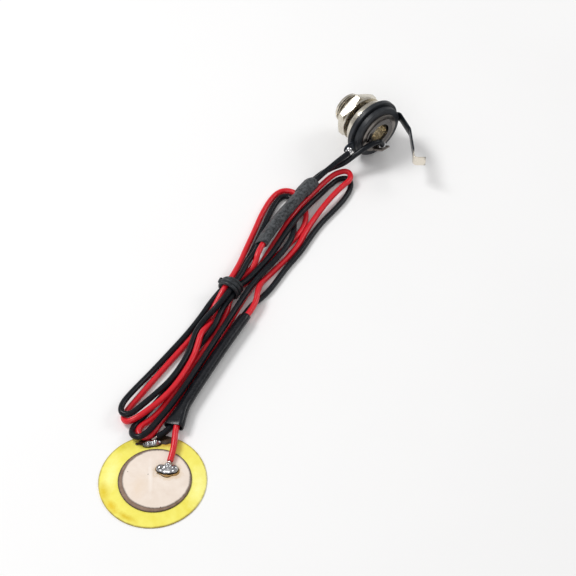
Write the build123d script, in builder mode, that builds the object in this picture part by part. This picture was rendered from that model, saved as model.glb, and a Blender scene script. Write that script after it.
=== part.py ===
"""Drum trigger transducer: a brass-backed piezo disc, its red and black lead folded into a tied hank, and a quarter-inch
panel jack. Millimetres. The origin is the centre of the disc's underside, +X runs along the hank to the jack, +Z is up."""

import math
import os

from build123d import *

# Disc
PLATE_RADIUS = 13.5
PLATE_THICKNESS = 0.3
CERAMIC_RADIUS = 9.2
CERAMIC_THICKNESS = 0.25
CERAMIC_CENTRE = (0.25, -0.5)
ELECTRODE_RADIUS = 8.55
ELECTRODE_THICKNESS = 0.05
ELECTRODE_CENTRE = (0.7, -0.65)

# Solder on the disc
ELECTRODE_SOLDER_CENTRE = (4.2, -1.7)
ELECTRODE_SOLDER_LENGTH = 5.0
ELECTRODE_SOLDER_WIDTH = 3.4
ELECTRODE_SOLDER_HEIGHT = 1.5
ELECTRODE_SOLDER_TURN = -72.0
PLATE_SOLDER_CENTRE = (9.3, 5.5)
PLATE_SOLDER_LENGTH = 4.2
PLATE_SOLDER_WIDTH = 2.1
PLATE_SOLDER_HEIGHT = 1.45
PLATE_SOLDER_TURN = -55.0
SOLDER_SHOULDER = 0.9
CORE_DEPTH = 1.4

# Wire
WIRE_DIAMETER = 1.6
CORE_DIAMETER = 0.7
BEND_SHARE = 0.45

# Sleeves
SLEEVE_WALL = 0.3
SLEEVE_CLEARANCE = 0.06
MOUTH_CLEARANCE = 0.15
STACK_OFFSET = 0.62
STACK_TURN = -45.0
COVER_LAP = 2.0

# Tie
TIE_CENTRE = (61.0, 10.6, 3.0)
TIE_OUTER_RADIUS = 3.0
TIE_WALL = 0.25
TIE_LENGTH = 2.4
TIE_KNOT_RADIUS = 0.75

# Jack
JACK_CENTRE_X = 128.6
JACK_CENTRE_Y = 0.35
JACK_YAW = 66.0
JACK_PITCH = 0.0
WAFER_RADIUS = 8.9
WAFER_THICKNESS = 1.4
REAR_WAFER_RADIUS = 8.0
BORE_RADIUS = 3.25
THREAD_RADIUS = 4.75
THREAD_END = 10.9
THREAD_CHAMFER = 0.5
FLANGE_RADIUS = 7.3
FLANGE_THICKNESS = 2.4
FLANGE_FILLET = 0.4
NECK_RADIUS = 4.1
NECK_CLEARANCE = 0.05
CRIMP_RADIUS = 4.9
CRIMP_THICKNESS = 0.4
NUT_ACROSS_FLATS = 12.7
NUT_THICKNESS = 2.4
NUT_FRONT = 7.2
NUT_TAPER = 60.0
THREAD_CLEARANCE = 0.05
WASHER_RADIUS = 7.0
WASHER_THICKNESS = 0.8
WASHER_CLEARANCE = 0.2
TERMINAL_THICKNESS = 0.4
TIP_RING_RADIUS = 6.8
TIP_RING_BORE = 4.95
SHOULDER_CLEARANCE = 0.05
LUG_WIDTH = 3.0
LUG_OVERHANG = 2.7
LUG_REACH = WAFER_RADIUS + LUG_OVERHANG
LUG_TURN = -7.6
LUG_HOLE_RADIUS = 0.75
ARM_WIDTH = 3.2
ARM_ROOT = 9.4
ARM_BEND_RADIUS = 1.1
ARM_MIDDLE = (7.2, -9.0)
ARM_FOOT = (2.4, -15.8)
ARM_TIP = (0.2, -18.1)
ARM_END = (2.9, -20.4)
EARTH_RING_RADIUS = 6.2
EARTH_THICKNESS = 0.5
EARTH_LUG_BEND = 6.0
EARTH_LUG_END = (3.6, -7.0)
EARTH_LUG_TURN = -87.0
EARTH_LUG_WIDTH = 3.0
JACK_SOLDER_RADIUS = 1.25
TIP_SOLDER_REACH = 0.3
TIP_SOLDER_BACK = 0.65
EARTH_SOLDER_SHARE = 0.72
EARTH_SOLDER_STANDOFF = 0.05

# Middle line of the sleeve by the disc; its two wires run beside this line
DISC_SLEEVE_GUIDE = [
    (17.2, 2.82, 1.9),
    (23.0, 3.5, 1.9),
    (30.5, 3.53, 1.9),
    (38.5, 3.5, 1.9),
    (46.0, 3.35, 1.9),
    (53.0, 3.15, 1.9),
    (59.5, 2.8, 1.9),
]
# Middle line of the two sleeves by the jack
JOINT_SLEEVE_GUIDE = [
    (74.2, 9.7, 4.0),
    (79.4, 10.1, 4.0),
    (85.0, 10.0, 4.1),
    (91.0, 9.45, 4.2),
    (97.0, 8.7, 4.3),
    (103.0, 7.9, 4.3),
    (109.0, 6.6, 4.4),
]
# Mouth of the sleeve by the disc: middle, distance between the wires, and turn of the flat oval
MOUTH_CENTRE = (14.4, 2.5, 1.9)
MOUTH_SPREAD = 2.6
MOUTH_TURN = -23.0
# Middle lines of the wires, from the disc to the splices and from the splices to the jack
RED_ROUTE = [
    (6.3, -1.45, 1.45),
    (9.0, -0.85, 1.8),
    (11.7, 0.2, 2.2),
    (14.4, 1.45, 2.3),
    (17.2, 2.2, 2.52),
    (23.0, 2.88, 2.52),
    (30.5, 2.91, 2.52),
    (38.5, 2.88, 2.52),
    (46.0, 2.73, 2.52),
    (53.0, 2.53, 2.52),
    (59.5, 2.18, 2.52),
    (63.63, 3.55, 3.09),
    (67.21, 4.61, 1.55),
    (70.5, 4.28, 0.82),
    (75.5, 3.2, 0.82),
    (80.0, 2.31, 0.82),
    (85.01, 1.7, 1.01),
    (90.51, 2.07, 1.37),
    (96.51, 1.88, 1.61),
    (102.5, 1.2, 2.3),
    (108.6, 0.0, 2.55),
    (112.8, -1.3, 2.55),
    (115.2, 1.0, 2.55),
    (113.0, 3.6, 2.55),
    (109.2, 4.9, 2.55),
    (103.5, 6.0, 2.6),
    (97.0, 7.1, 2.7),
    (90.5, 7.6, 2.75),
    (83.5, 8.0, 1.3),
    (76.5, 8.03, 0.82),
    (70.5, 7.96, 0.82),
    (66.0, 8.36, 0.92),
    (63.2, 9.58, 1.46),
    (60.8, 9.77, 1.49),
    (58.41, 9.51, 1.37),
    (54.5, 8.3, 0.82),
    (50.0, 7.76, 0.82),
    (43.5, 7.71, 0.82),
    (36.0, 7.92, 0.82),
    (28.0, 7.98, 0.82),
    (20.5, 8.17, 0.82),
    (15.59, 9.04, 0.85),
    (12.47, 10.44, 1.18),
    (9.81, 9.97, 1.18),
    (9.17, 8.15, 1.18),
    (11.22, 7.12, 1.15),
    (14.93, 6.61, 0.85),
    (20.0, 6.36, 0.82),
    (28.0, 6.23, 0.82),
    (36.0, 6.2, 0.82),
    (43.5, 6.04, 0.82),
    (50.0, 6.02, 0.82),
    (57.5, 6.39, 0.82),
    (64.5, 6.6, 0.82),
    (70.5, 6.35, 0.82),
    (76.49, 5.77, 0.82),
    (82.47, 4.57, 0.82),
    (88.46, 3.38, 0.82),
    (93.58, 3.83, 0.82),
    (97.8, 6.1, 0.82),
    (101.0, 9.0, 0.82),
    (102.2, 12.6, 0.82),
    (100.8, 15.6, 0.82),
    (97.0, 16.6, 0.82),
    (90.5, 16.3, 0.82),
    (83.5, 15.1, 0.85),
    (76.5, 13.9, 1.61),
    (70.51, 12.6, 2.63),
    (66.01, 11.9, 3.73),
    (63.2, 11.52, 4.42),
    (60.8, 11.45, 4.44),
    (58.39, 11.48, 4.23),
    (54.49, 11.64, 2.62),
    (50.0, 11.85, 0.95),
    (43.5, 12.49, 0.82),
    (36.0, 13.6, 0.82),
    (28.0, 14.6, 0.82),
    (20.5, 15.5, 0.82),
    (15.6, 16.1, 0.82),
    (12.6, 16.02, 0.94),
    (11.22, 14.0, 1.76),
    (12.83, 12.13, 2.81),
    (16.01, 10.76, 2.8),
    (21.5, 9.0, 2.61),
    (28.0, 8.1, 2.55),
    (36.0, 8.32, 2.64),
    (39.99, 9.12, 3.11),
    (43.99, 10.19, 3.58),
    (48.0, 10.2, 1.78),
    (51.5, 10.07, 0.95),
    (54.5, 10.6, 0.9),
    (58.4, 11.31, 1.49),
    (60.8, 11.42, 1.54),
    (63.2, 11.33, 1.52),
    (66.6, 10.29, 1.34),
    (70.0, 8.98, 2.14),
    (72.2, 8.61, 3.36),
    (74.2, 9.08, 4.62),
    (79.4, 9.48, 4.62),
    (85.0, 9.38, 4.72),
    (86.5, 9.24, 4.74),
]
BLACK_ROUTE = [
    (11.15, 5.2, 1.15),
    (12.85, 4.2, 1.25),
    (14.6, 3.5, 1.4),
    (17.2, 3.44, 1.28),
    (23.0, 4.12, 1.28),
    (30.5, 4.15, 1.28),
    (38.5, 4.12, 1.28),
    (46.0, 3.97, 1.28),
    (53.0, 3.77, 1.28),
    (59.5, 3.42, 1.28),
    (62.77, 2.53, 0.82),
    (66.39, 1.67, 0.82),
    (70.5, 1.4, 0.82),
    (76.5, 1.09, 0.82),
    (82.5, 0.17, 0.82),
    (89.0, 0.17, 0.82),
    (95.0, -0.21, 0.82),
    (100.5, -1.3, 0.82),
    (106.0, -2.2, 0.82),
    (111.0, -2.0, 0.82),
    (114.0, -0.2, 0.82),
    (112.9, 2.6, 0.82),
    (108.8, 3.9, 0.9),
    (103.5, 4.2, 2.2),
    (97.0, 5.15, 3.07),
    (90.5, 5.92, 3.42),
    (83.5, 6.2, 2.94),
    (76.5, 6.28, 2.59),
    (70.5, 7.2, 2.55),
    (66.0, 7.9, 2.64),
    (63.2, 8.87, 3.04),
    (60.8, 8.89, 3.04),
    (58.39, 9.02, 3.03),
    (54.5, 9.37, 2.58),
    (51.5, 8.96, 2.57),
    (48.01, 8.38, 2.62),
    (44.01, 8.68, 2.26),
    (40.01, 9.68, 1.21),
    (36.0, 9.87, 0.85),
    (28.0, 9.8, 0.82),
    (20.5, 10.66, 0.82),
    (15.59, 11.33, 0.82),
    (11.5, 12.16, 1.01),
    (8.58, 11.12, 1.86),
    (7.94, 8.52, 2.81),
    (10.5, 7.2, 2.94),
    (14.8, 6.8, 2.66),
    (20.0, 6.2, 2.55),
    (28.0, 5.9, 2.55),
    (36.0, 5.95, 2.55),
    (43.5, 6.05, 2.55),
    (50.0, 6.1, 2.55),
    (57.5, 6.21, 2.56),
    (64.51, 6.18, 2.57),
    (70.51, 5.43, 2.57),
    (76.5, 4.31, 2.57),
    (81.52, 3.75, 2.68),
    (86.03, 4.1, 2.68),
    (90.22, 5.95, 1.08),
    (94.5, 8.1, 0.83),
    (98.4, 10.2, 0.82),
    (100.2, 12.5, 0.82),
    (98.4, 14.6, 0.82),
    (93.5, 14.6, 0.82),
    (86.5, 13.6, 0.82),
    (78.5, 12.3, 0.82),
    (71.0, 11.8, 0.82),
    (66.4, 12.42, 1.89),
    (63.2, 12.29, 2.88),
    (60.81, 12.3, 3.02),
    (58.41, 12.66, 2.88),
    (54.51, 13.37, 2.18),
    (50.0, 13.45, 1.8),
    (43.5, 14.31, 0.85),
    (36.0, 15.4, 0.82),
    (28.0, 16.5, 1.0),
    (20.5, 17.2, 2.3),
    (15.3, 17.7, 2.6),
    (12.5, 16.4, 2.75),
    (13.0, 13.9, 3.0),
    (16.4, 12.9, 2.8),
    (21.5, 11.6, 2.55),
    (28.0, 10.0, 2.55),
    (36.0, 10.1, 2.55),
    (40.0, 10.96, 2.55),
    (44.0, 11.94, 2.62),
    (48.0, 11.8, 2.82),
    (51.5, 11.07, 3.41),
    (54.5, 10.21, 4.13),
    (58.4, 9.8, 4.5),
    (60.8, 9.77, 4.5),
    (63.2, 9.8, 4.44),
    (66.6, 9.93, 4.01),
    (70.0, 10.39, 3.7),
    (72.2, 10.55, 3.41),
    (74.2, 10.32, 3.38),
    (79.4, 10.72, 3.38),
    (85.0, 10.62, 3.48),
    (91.0, 10.07, 3.58),
    (92.5, 9.88, 3.6),
]
TIP_LEAD_ROUTE = [
    (89.5, 8.97, 4.79),
    (91.0, 8.83, 4.82),
    (97.0, 8.08, 4.92),
    (103.0, 7.28, 4.92),
    (108.4, 6.0, 5.2),
    (112.0, 4.7, 5.7),
    (115.0, 3.2, 6.8),
    (117.35, 2.0, 7.4),
]
EARTH_LEAD_ROUTE = [
    (95.5, 9.51, 3.65),
    (97.0, 9.32, 3.68),
    (103.0, 8.52, 3.68),
    (108.6, 7.3, 3.85),
    (112.4, 5.5, 3.85),
    (115.6, 2.6, 4.3),
    (118.3, 0.5, 6.3),
    (121.0, -1.6, 8.0),
    (123.7, -3.4, 8.4),
    (125.7, -4.4, 7.4),
    (126.0, -4.65, 5.7),
]


def corner_radii(points):
    """Bend radius at every inner point: each bend takes a share of the shorter run beside it."""
    radii = []
    for before, corner, after in zip(points, points[1:], points[2:]):
        arriving = Vector(*corner) - Vector(*before)
        leaving = Vector(*after) - Vector(*corner)
        turn = math.radians(arriving.get_angle(leaving))
        radii.append(BEND_SHARE * min(arriving.length, leaving.length) / math.tan(turn / 2))
    return radii


def cord(points, diameter):
    """Round tube of straight runs joined by arcs along the points."""
    with BuildLine():
        middle = FilletPolyline(*points, radius=corner_radii(points))
    with BuildPart() as tube:
        with BuildSketch(Plane(origin=middle @ 0, z_dir=middle % 0)):
            Circle(diameter / 2)
        sweep(path=middle)
    section_volume = math.pi * (diameter / 2) ** 2 * middle.length
    print(f"cord of {middle.length:.1f} mm, tightest bend {min(corner_radii(points)):.2f} mm")
    print(f"volume {tube.part.volume:.2f}, section by length {section_volume:.2f}")
    return tube.part


def pin(start, end, diameter):
    """Straight round bar between two points."""
    run = Vector(*end) - Vector(*start)
    with BuildPart() as bar:
        with BuildSketch(Plane(origin=start, z_dir=run)):
            Circle(diameter / 2)
        extrude(amount=run.length)
    return bar.part


def beyond(start, through, distance):
    """Point on the line from through to start, a distance past start."""
    away = (Vector(*start) - Vector(*through)).normalized()
    return tuple(Vector(*start) + away * distance)


def between(first, second, share):
    """Point at a share of the way from first to second."""
    return tuple(Vector(*first) + (Vector(*second) - Vector(*first)) * share)


def upright_plane(origin, direction):
    """Plane across a direction, its x axis level and pointing to the left of the direction."""
    return Plane(origin=origin, x_dir=(-direction.Y, direction.X, 0), z_dir=direction)


def oval(spread, clearance, turn, mode=Mode.ADD):
    """Flat oval round two wires that lie a spread apart."""
    thickness = WIRE_DIAMETER + 2 * clearance
    return SlotOverall(spread + thickness, thickness, rotation=turn, mode=mode)


def twin_sleeve(points, clearance):
    """Wall of a sleeve round two stacked wires along the points."""
    with BuildLine():
        middle = FilletPolyline(*points, radius=corner_radii(points))
    with BuildPart() as sleeve:
        with BuildSketch(upright_plane(middle @ 0, middle % 0)):
            oval(STACK_SPREAD, clearance + SLEEVE_WALL, STACK_TURN)
            oval(STACK_SPREAD, clearance, STACK_TURN, mode=Mode.SUBTRACT)
        sweep(path=middle)
    return sleeve.part


# Heights and joints that follow from the dimensions above
CERAMIC_TOP = PLATE_THICKNESS + CERAMIC_THICKNESS
ELECTRODE_TOP = CERAMIC_TOP + ELECTRODE_THICKNESS
STACK_SPREAD = 2 * STACK_OFFSET * math.sqrt(2)
yaw = math.radians(JACK_YAW)
pitch = math.radians(JACK_PITCH)
JACK_PLANE = Plane(
    origin=(JACK_CENTRE_X, JACK_CENTRE_Y, WAFER_RADIUS),
    x_dir=(-math.sin(yaw), math.cos(yaw), 0),
    z_dir=(math.cos(yaw) * math.cos(pitch), math.sin(yaw) * math.cos(pitch), -math.sin(pitch)),
)
CRIMP_BACK = -(2 * WAFER_THICKNESS + TERMINAL_THICKNESS + EARTH_THICKNESS + CRIMP_THICKNESS)
EARTH_BACK = CRIMP_BACK + CRIMP_THICKNESS
REAR_WAFER_BACK = EARTH_BACK + EARTH_THICKNESS
TIP_BACK = REAR_WAFER_BACK + WAFER_THICKNESS
TIP_FRONT = TIP_BACK + TERMINAL_THICKNESS

# The disc: plate, ceramic and silvered face
with BuildPart() as brass_plate:
    with BuildSketch(Plane.XY):
        Circle(PLATE_RADIUS)
    extrude(amount=PLATE_THICKNESS)

with BuildPart() as ceramic_disc:
    with BuildSketch(Plane.XY.offset(PLATE_THICKNESS)):
        with Locations(CERAMIC_CENTRE):
            Circle(CERAMIC_RADIUS)
    extrude(amount=CERAMIC_THICKNESS)

with BuildPart() as silver_electrode:
    with BuildSketch(Plane.XY.offset(CERAMIC_TOP)):
        with Locations(ELECTRODE_CENTRE):
            Circle(ELECTRODE_RADIUS)
    extrude(amount=ELECTRODE_THICKNESS)

# Tubes of the two wires, used below
red_tube = cord(RED_ROUTE, WIRE_DIAMETER)
black_tube = cord(BLACK_ROUTE, WIRE_DIAMETER)

# Bare wire ends, buried in the solder
red_core_pin = pin(beyond(RED_ROUTE[0], RED_ROUTE[1], CORE_DEPTH), RED_ROUTE[0], CORE_DIAMETER)
with BuildPart() as red_core:
    add(red_core_pin)

black_core_pin = pin(beyond(BLACK_ROUTE[0], BLACK_ROUTE[1], CORE_DEPTH), BLACK_ROUTE[0], CORE_DIAMETER)
with BuildPart() as black_core:
    add(black_core_pin)

with BuildPart() as electrode_solder:
    with BuildSketch(Plane(origin=(*ELECTRODE_SOLDER_CENTRE, ELECTRODE_TOP))):
        SlotOverall(ELECTRODE_SOLDER_LENGTH, ELECTRODE_SOLDER_WIDTH, rotation=ELECTRODE_SOLDER_TURN)
    extrude(amount=ELECTRODE_SOLDER_HEIGHT)
    fillet(electrode_solder.faces().sort_by(Axis.Z)[-1].edges(), radius=SOLDER_SHOULDER)
    add(red_core.part, mode=Mode.SUBTRACT)
    add(red_tube, mode=Mode.SUBTRACT)

with BuildPart() as plate_solder:
    with BuildSketch(Plane(origin=(*PLATE_SOLDER_CENTRE, PLATE_THICKNESS))):
        SlotOverall(PLATE_SOLDER_LENGTH, PLATE_SOLDER_WIDTH, rotation=PLATE_SOLDER_TURN)
    extrude(amount=PLATE_SOLDER_HEIGHT)
    fillet(plate_solder.faces().sort_by(Axis.Z)[-1].edges(), radius=SOLDER_SHOULDER)
    add(black_core.part, mode=Mode.SUBTRACT)
    add(black_tube, mode=Mode.SUBTRACT)
    add(ceramic_disc.part, mode=Mode.SUBTRACT)

# The lead: one red and one black wire, from the disc to the splices
with BuildPart() as red_wire:
    add(red_tube)

with BuildPart() as black_wire:
    add(black_tube)

red_splice_pin = pin(RED_ROUTE[-1], TIP_LEAD_ROUTE[0], WIRE_DIAMETER)
with BuildPart() as red_splice:
    add(red_splice_pin)

black_splice_pin = pin(BLACK_ROUTE[-1], EARTH_LEAD_ROUTE[0], WIRE_DIAMETER)
with BuildPart() as black_splice:
    add(black_splice_pin)

tip_tube = cord(TIP_LEAD_ROUTE, WIRE_DIAMETER)
with BuildPart() as tip_lead:
    add(tip_tube)

earth_tube = cord(EARTH_LEAD_ROUTE, WIRE_DIAMETER)
with BuildPart() as earth_lead:
    add(earth_tube)

# Sleeve by the disc, with a mouth that spreads over the two wires
disc_sleeve_start = between(DISC_SLEEVE_GUIDE[0], DISC_SLEEVE_GUIDE[1], 0.5)
disc_sleeve_end = between(DISC_SLEEVE_GUIDE[-2], DISC_SLEEVE_GUIDE[-1], 0.5)
mouth_direction = (Vector(*DISC_SLEEVE_GUIDE[1]) - Vector(*DISC_SLEEVE_GUIDE[0])).normalized()
mouth_sections = [
    (MOUTH_CENTRE, MOUTH_SPREAD, MOUTH_CLEARANCE, MOUTH_TURN),
    (DISC_SLEEVE_GUIDE[0], STACK_SPREAD, MOUTH_CLEARANCE, STACK_TURN),
    (disc_sleeve_start, STACK_SPREAD, SLEEVE_CLEARANCE, STACK_TURN),
]
disc_sleeve_body = twin_sleeve([disc_sleeve_start] + DISC_SLEEVE_GUIDE[1:-1] + [disc_sleeve_end], SLEEVE_CLEARANCE)
with BuildPart() as disc_sleeve:
    for centre, spread, clearance, turn in mouth_sections:
        with BuildSketch(upright_plane(centre, mouth_direction)):
            oval(spread, clearance + SLEEVE_WALL, turn)
    loft(ruled=True)
    for centre, spread, clearance, turn in mouth_sections:
        with BuildSketch(upright_plane(centre, mouth_direction)):
            oval(spread, clearance, turn)
    loft(ruled=True, mode=Mode.SUBTRACT)
    add(disc_sleeve_body)

# Sleeves over the splices: the cover laps over the end of the joint sleeve
lap_run = (Vector(*JOINT_SLEEVE_GUIDE[-2]) - Vector(*JOINT_SLEEVE_GUIDE[-3])).length
lap_share = COVER_LAP / lap_run / 2
joint_sleeve_start = between(JOINT_SLEEVE_GUIDE[0], JOINT_SLEEVE_GUIDE[1], 0.5)
joint_sleeve_end = between(JOINT_SLEEVE_GUIDE[-3], JOINT_SLEEVE_GUIDE[-2], 0.5 + lap_share)
cover_start = between(JOINT_SLEEVE_GUIDE[-3], JOINT_SLEEVE_GUIDE[-2], 0.5 - lap_share)
cover_end = between(JOINT_SLEEVE_GUIDE[-2], JOINT_SLEEVE_GUIDE[-1], 0.5)
COVER_CLEARANCE = 2 * SLEEVE_CLEARANCE + SLEEVE_WALL
joint_body = twin_sleeve([joint_sleeve_start] + JOINT_SLEEVE_GUIDE[1:-2] + [joint_sleeve_end], SLEEVE_CLEARANCE)
with BuildPart() as joint_sleeve:
    add(joint_body)

cover_body = twin_sleeve([cover_start, JOINT_SLEEVE_GUIDE[-2], cover_end], COVER_CLEARANCE)
with BuildPart() as cover_sleeve:
    add(cover_body)

# Tie round the hank, with its twisted knot on top
with BuildPart() as binding_tie:
    with BuildSketch(Plane.YZ.offset(TIE_CENTRE[0] - TIE_LENGTH / 2)):
        with Locations(TIE_CENTRE[1:]):
            Circle(TIE_OUTER_RADIUS)
            Circle(TIE_OUTER_RADIUS - TIE_WALL, mode=Mode.SUBTRACT)
    extrude(amount=TIE_LENGTH)
    with Locations((TIE_CENTRE[0], TIE_CENTRE[1], TIE_CENTRE[2] + TIE_OUTER_RADIUS)):
        Sphere(TIE_KNOT_RADIUS)

# The jack, built along its own axis with the front face of the front wafer at zero
with BuildPart() as jack_bushing:
    with BuildSketch(JACK_PLANE):
        Circle(FLANGE_RADIUS)
    extrude(amount=FLANGE_THICKNESS)
    fillet(jack_bushing.edges().group_by(Axis(JACK_PLANE.origin, JACK_PLANE.z_dir))[-1], radius=FLANGE_FILLET)
    with BuildSketch(JACK_PLANE.offset(FLANGE_THICKNESS)):
        Circle(THREAD_RADIUS)
    extrude(amount=THREAD_END - FLANGE_THICKNESS)
    chamfer(jack_bushing.edges().group_by(Axis(JACK_PLANE.origin, JACK_PLANE.z_dir))[-1], length=THREAD_CHAMFER)
    with BuildSketch(JACK_PLANE):
        Circle(NECK_RADIUS)
    extrude(amount=CRIMP_BACK)
    with BuildSketch(JACK_PLANE.offset(CRIMP_BACK)):
        Circle(CRIMP_RADIUS)
    extrude(amount=CRIMP_THICKNESS)
    with BuildSketch(JACK_PLANE.offset(CRIMP_BACK)):
        Circle(BORE_RADIUS)
    extrude(amount=THREAD_END - CRIMP_BACK, mode=Mode.SUBTRACT)

with BuildPart() as hex_nut:
    with BuildSketch(JACK_PLANE.offset(NUT_FRONT - NUT_THICKNESS)):
        RegularPolygon(NUT_ACROSS_FLATS / 2, 6, major_radius=False)
    extrude(amount=NUT_THICKNESS)
    with BuildSketch(JACK_PLANE.offset(NUT_FRONT)) as nut_round:
        Circle(NUT_ACROSS_FLATS / 2)
    extrude(to_extrude=nut_round.sketch, amount=-NUT_THICKNESS, taper=-NUT_TAPER, mode=Mode.INTERSECT)
    with BuildSketch(JACK_PLANE.offset(NUT_FRONT - NUT_THICKNESS)):
        Circle(THREAD_RADIUS + THREAD_CLEARANCE)
    extrude(amount=NUT_THICKNESS, mode=Mode.SUBTRACT)

with BuildPart() as flat_washer:
    with BuildSketch(JACK_PLANE.offset(NUT_FRONT - NUT_THICKNESS - WASHER_THICKNESS)):
        Circle(WASHER_RADIUS)
        Circle(THREAD_RADIUS + WASHER_CLEARANCE, mode=Mode.SUBTRACT)
    extrude(amount=WASHER_THICKNESS)

with BuildPart() as front_wafer:
    with BuildSketch(JACK_PLANE.offset(-WAFER_THICKNESS)):
        Circle(WAFER_RADIUS)
        Circle(NECK_RADIUS + NECK_CLEARANCE, mode=Mode.SUBTRACT)
    extrude(amount=WAFER_THICKNESS)

ARM_PLANE = Plane(origin=JACK_PLANE.origin, x_dir=JACK_PLANE.x_dir, z_dir=JACK_PLANE.y_dir)
arm_points = [
    (-TIP_RING_BORE - TERMINAL_THICKNESS, WAFER_THICKNESS + TERMINAL_THICKNESS / 2),
    (-ARM_ROOT, WAFER_THICKNESS + TERMINAL_THICKNESS / 2),
] + [(-across, -along) for across, along in (ARM_MIDDLE, ARM_FOOT, ARM_TIP, ARM_END)]
with BuildPart() as tip_spring:
    with BuildSketch(JACK_PLANE.offset(TIP_BACK)):
        Circle(TIP_RING_RADIUS)
        with Locations(Rotation(0, 0, LUG_TURN)):
            with Locations((LUG_REACH - LUG_WIDTH / 2, 0)):
                Circle(LUG_WIDTH / 2)
            with Locations(((LUG_REACH - LUG_WIDTH / 2) / 2, 0)):
                Rectangle(LUG_REACH - LUG_WIDTH / 2, LUG_WIDTH)
            with Locations((LUG_REACH - LUG_WIDTH / 2, 0)):
                Circle(LUG_HOLE_RADIUS, mode=Mode.SUBTRACT)
        Circle(TIP_RING_BORE, mode=Mode.SUBTRACT)
    extrude(amount=TERMINAL_THICKNESS)
    with BuildSketch(ARM_PLANE):
        with BuildLine():
            FilletPolyline(*arm_points, radius=ARM_BEND_RADIUS)
        trace(line_width=TERMINAL_THICKNESS)
    extrude(amount=ARM_WIDTH / 2, both=True)

with BuildPart() as rear_wafer:
    with BuildSketch(JACK_PLANE.offset(REAR_WAFER_BACK)):
        Circle(REAR_WAFER_RADIUS)
    extrude(amount=WAFER_THICKNESS)
    with BuildSketch(JACK_PLANE.offset(TIP_BACK)):
        Circle(TIP_RING_BORE - SHOULDER_CLEARANCE)
    extrude(amount=TERMINAL_THICKNESS)
    with BuildSketch(JACK_PLANE.offset(REAR_WAFER_BACK)):
        Circle(NECK_RADIUS + NECK_CLEARANCE)
    extrude(amount=WAFER_THICKNESS + TERMINAL_THICKNESS, mode=Mode.SUBTRACT)

lug_turn = math.radians(EARTH_LUG_TURN)
lug_direction = JACK_PLANE.x_dir * math.cos(lug_turn) + JACK_PLANE.y_dir * math.sin(lug_turn)
EARTH_PLANE = Plane(origin=JACK_PLANE.origin, x_dir=lug_direction, z_dir=JACK_PLANE.z_dir.cross(lug_direction))
lug_points = [
    (NECK_RADIUS + EARTH_THICKNESS, -EARTH_BACK - EARTH_THICKNESS / 2),
    (EARTH_LUG_BEND, -EARTH_BACK - EARTH_THICKNESS / 2),
    (EARTH_LUG_END[0], -EARTH_LUG_END[1]),
]
with BuildPart() as earth_ring:
    with BuildSketch(JACK_PLANE.offset(EARTH_BACK)):
        Circle(EARTH_RING_RADIUS)
    extrude(amount=EARTH_THICKNESS)
    with BuildSketch(EARTH_PLANE):
        with BuildLine():
            Polyline(*lug_points)
        trace(line_width=EARTH_THICKNESS)
    extrude(amount=EARTH_LUG_WIDTH / 2, both=True)
    with BuildSketch(JACK_PLANE.offset(EARTH_BACK)):
        Circle(NECK_RADIUS + NECK_CLEARANCE)
    extrude(amount=EARTH_THICKNESS, mode=Mode.SUBTRACT)

# Solder on the two jack terminals, round the ends of the leads
tip_turn = math.radians(LUG_TURN)
tip_reach = LUG_REACH - LUG_WIDTH / 2 + TIP_SOLDER_REACH
tip_solder_centre = JACK_PLANE.from_local_coords(
    (
        tip_reach * math.cos(tip_turn),
        tip_reach * math.sin(tip_turn),
        TIP_BACK + TERMINAL_THICKNESS / 2 - TIP_SOLDER_BACK,
    )
)
with BuildPart() as tip_solder:
    with Locations(tip_solder_centre):
        Sphere(JACK_SOLDER_RADIUS)
    add(tip_spring.part, mode=Mode.SUBTRACT)
    add(tip_lead.part, mode=Mode.SUBTRACT)

lug_bend = Vector(*lug_points[-2])
lug_run = Vector(*lug_points[-1]) - lug_bend
lug_inwards = Vector(-lug_run.Y, lug_run.X).normalized()
solder_offset = JACK_SOLDER_RADIUS - EARTH_THICKNESS / 2 + EARTH_SOLDER_STANDOFF
earth_solder_centre = EARTH_PLANE.from_local_coords(
    lug_bend + lug_run * EARTH_SOLDER_SHARE + lug_inwards * solder_offset
)
with BuildPart() as earth_solder:
    with Locations(earth_solder_centre):
        Sphere(JACK_SOLDER_RADIUS)
    add(earth_ring.part, mode=Mode.SUBTRACT)
    add(earth_lead.part, mode=Mode.SUBTRACT)

os.makedirs("parts", exist_ok=True)
brass_plate.part.label = "brass_plate"
export_step(brass_plate.part, "parts/brass_plate.step")
ceramic_disc.part.label = "ceramic_disc"
export_step(ceramic_disc.part, "parts/ceramic_disc.step")
silver_electrode.part.label = "silver_electrode"
export_step(silver_electrode.part, "parts/silver_electrode.step")
red_core.part.label = "red_core"
export_step(red_core.part, "parts/red_core.step")
black_core.part.label = "black_core"
export_step(black_core.part, "parts/black_core.step")
electrode_solder.part.label = "electrode_solder"
export_step(electrode_solder.part, "parts/electrode_solder.step")
plate_solder.part.label = "plate_solder"
export_step(plate_solder.part, "parts/plate_solder.step")
red_wire.part.label = "red_wire"
export_step(red_wire.part, "parts/red_wire.step")
black_wire.part.label = "black_wire"
export_step(black_wire.part, "parts/black_wire.step")
red_splice.part.label = "red_splice"
export_step(red_splice.part, "parts/red_splice.step")
black_splice.part.label = "black_splice"
export_step(black_splice.part, "parts/black_splice.step")
tip_lead.part.label = "tip_lead"
export_step(tip_lead.part, "parts/tip_lead.step")
earth_lead.part.label = "earth_lead"
export_step(earth_lead.part, "parts/earth_lead.step")
disc_sleeve.part.label = "disc_sleeve"
export_step(disc_sleeve.part, "parts/disc_sleeve.step")
joint_sleeve.part.label = "joint_sleeve"
export_step(joint_sleeve.part, "parts/joint_sleeve.step")
cover_sleeve.part.label = "cover_sleeve"
export_step(cover_sleeve.part, "parts/cover_sleeve.step")
binding_tie.part.label = "binding_tie"
export_step(binding_tie.part, "parts/binding_tie.step")
jack_bushing.part.label = "jack_bushing"
export_step(jack_bushing.part, "parts/jack_bushing.step")
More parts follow.
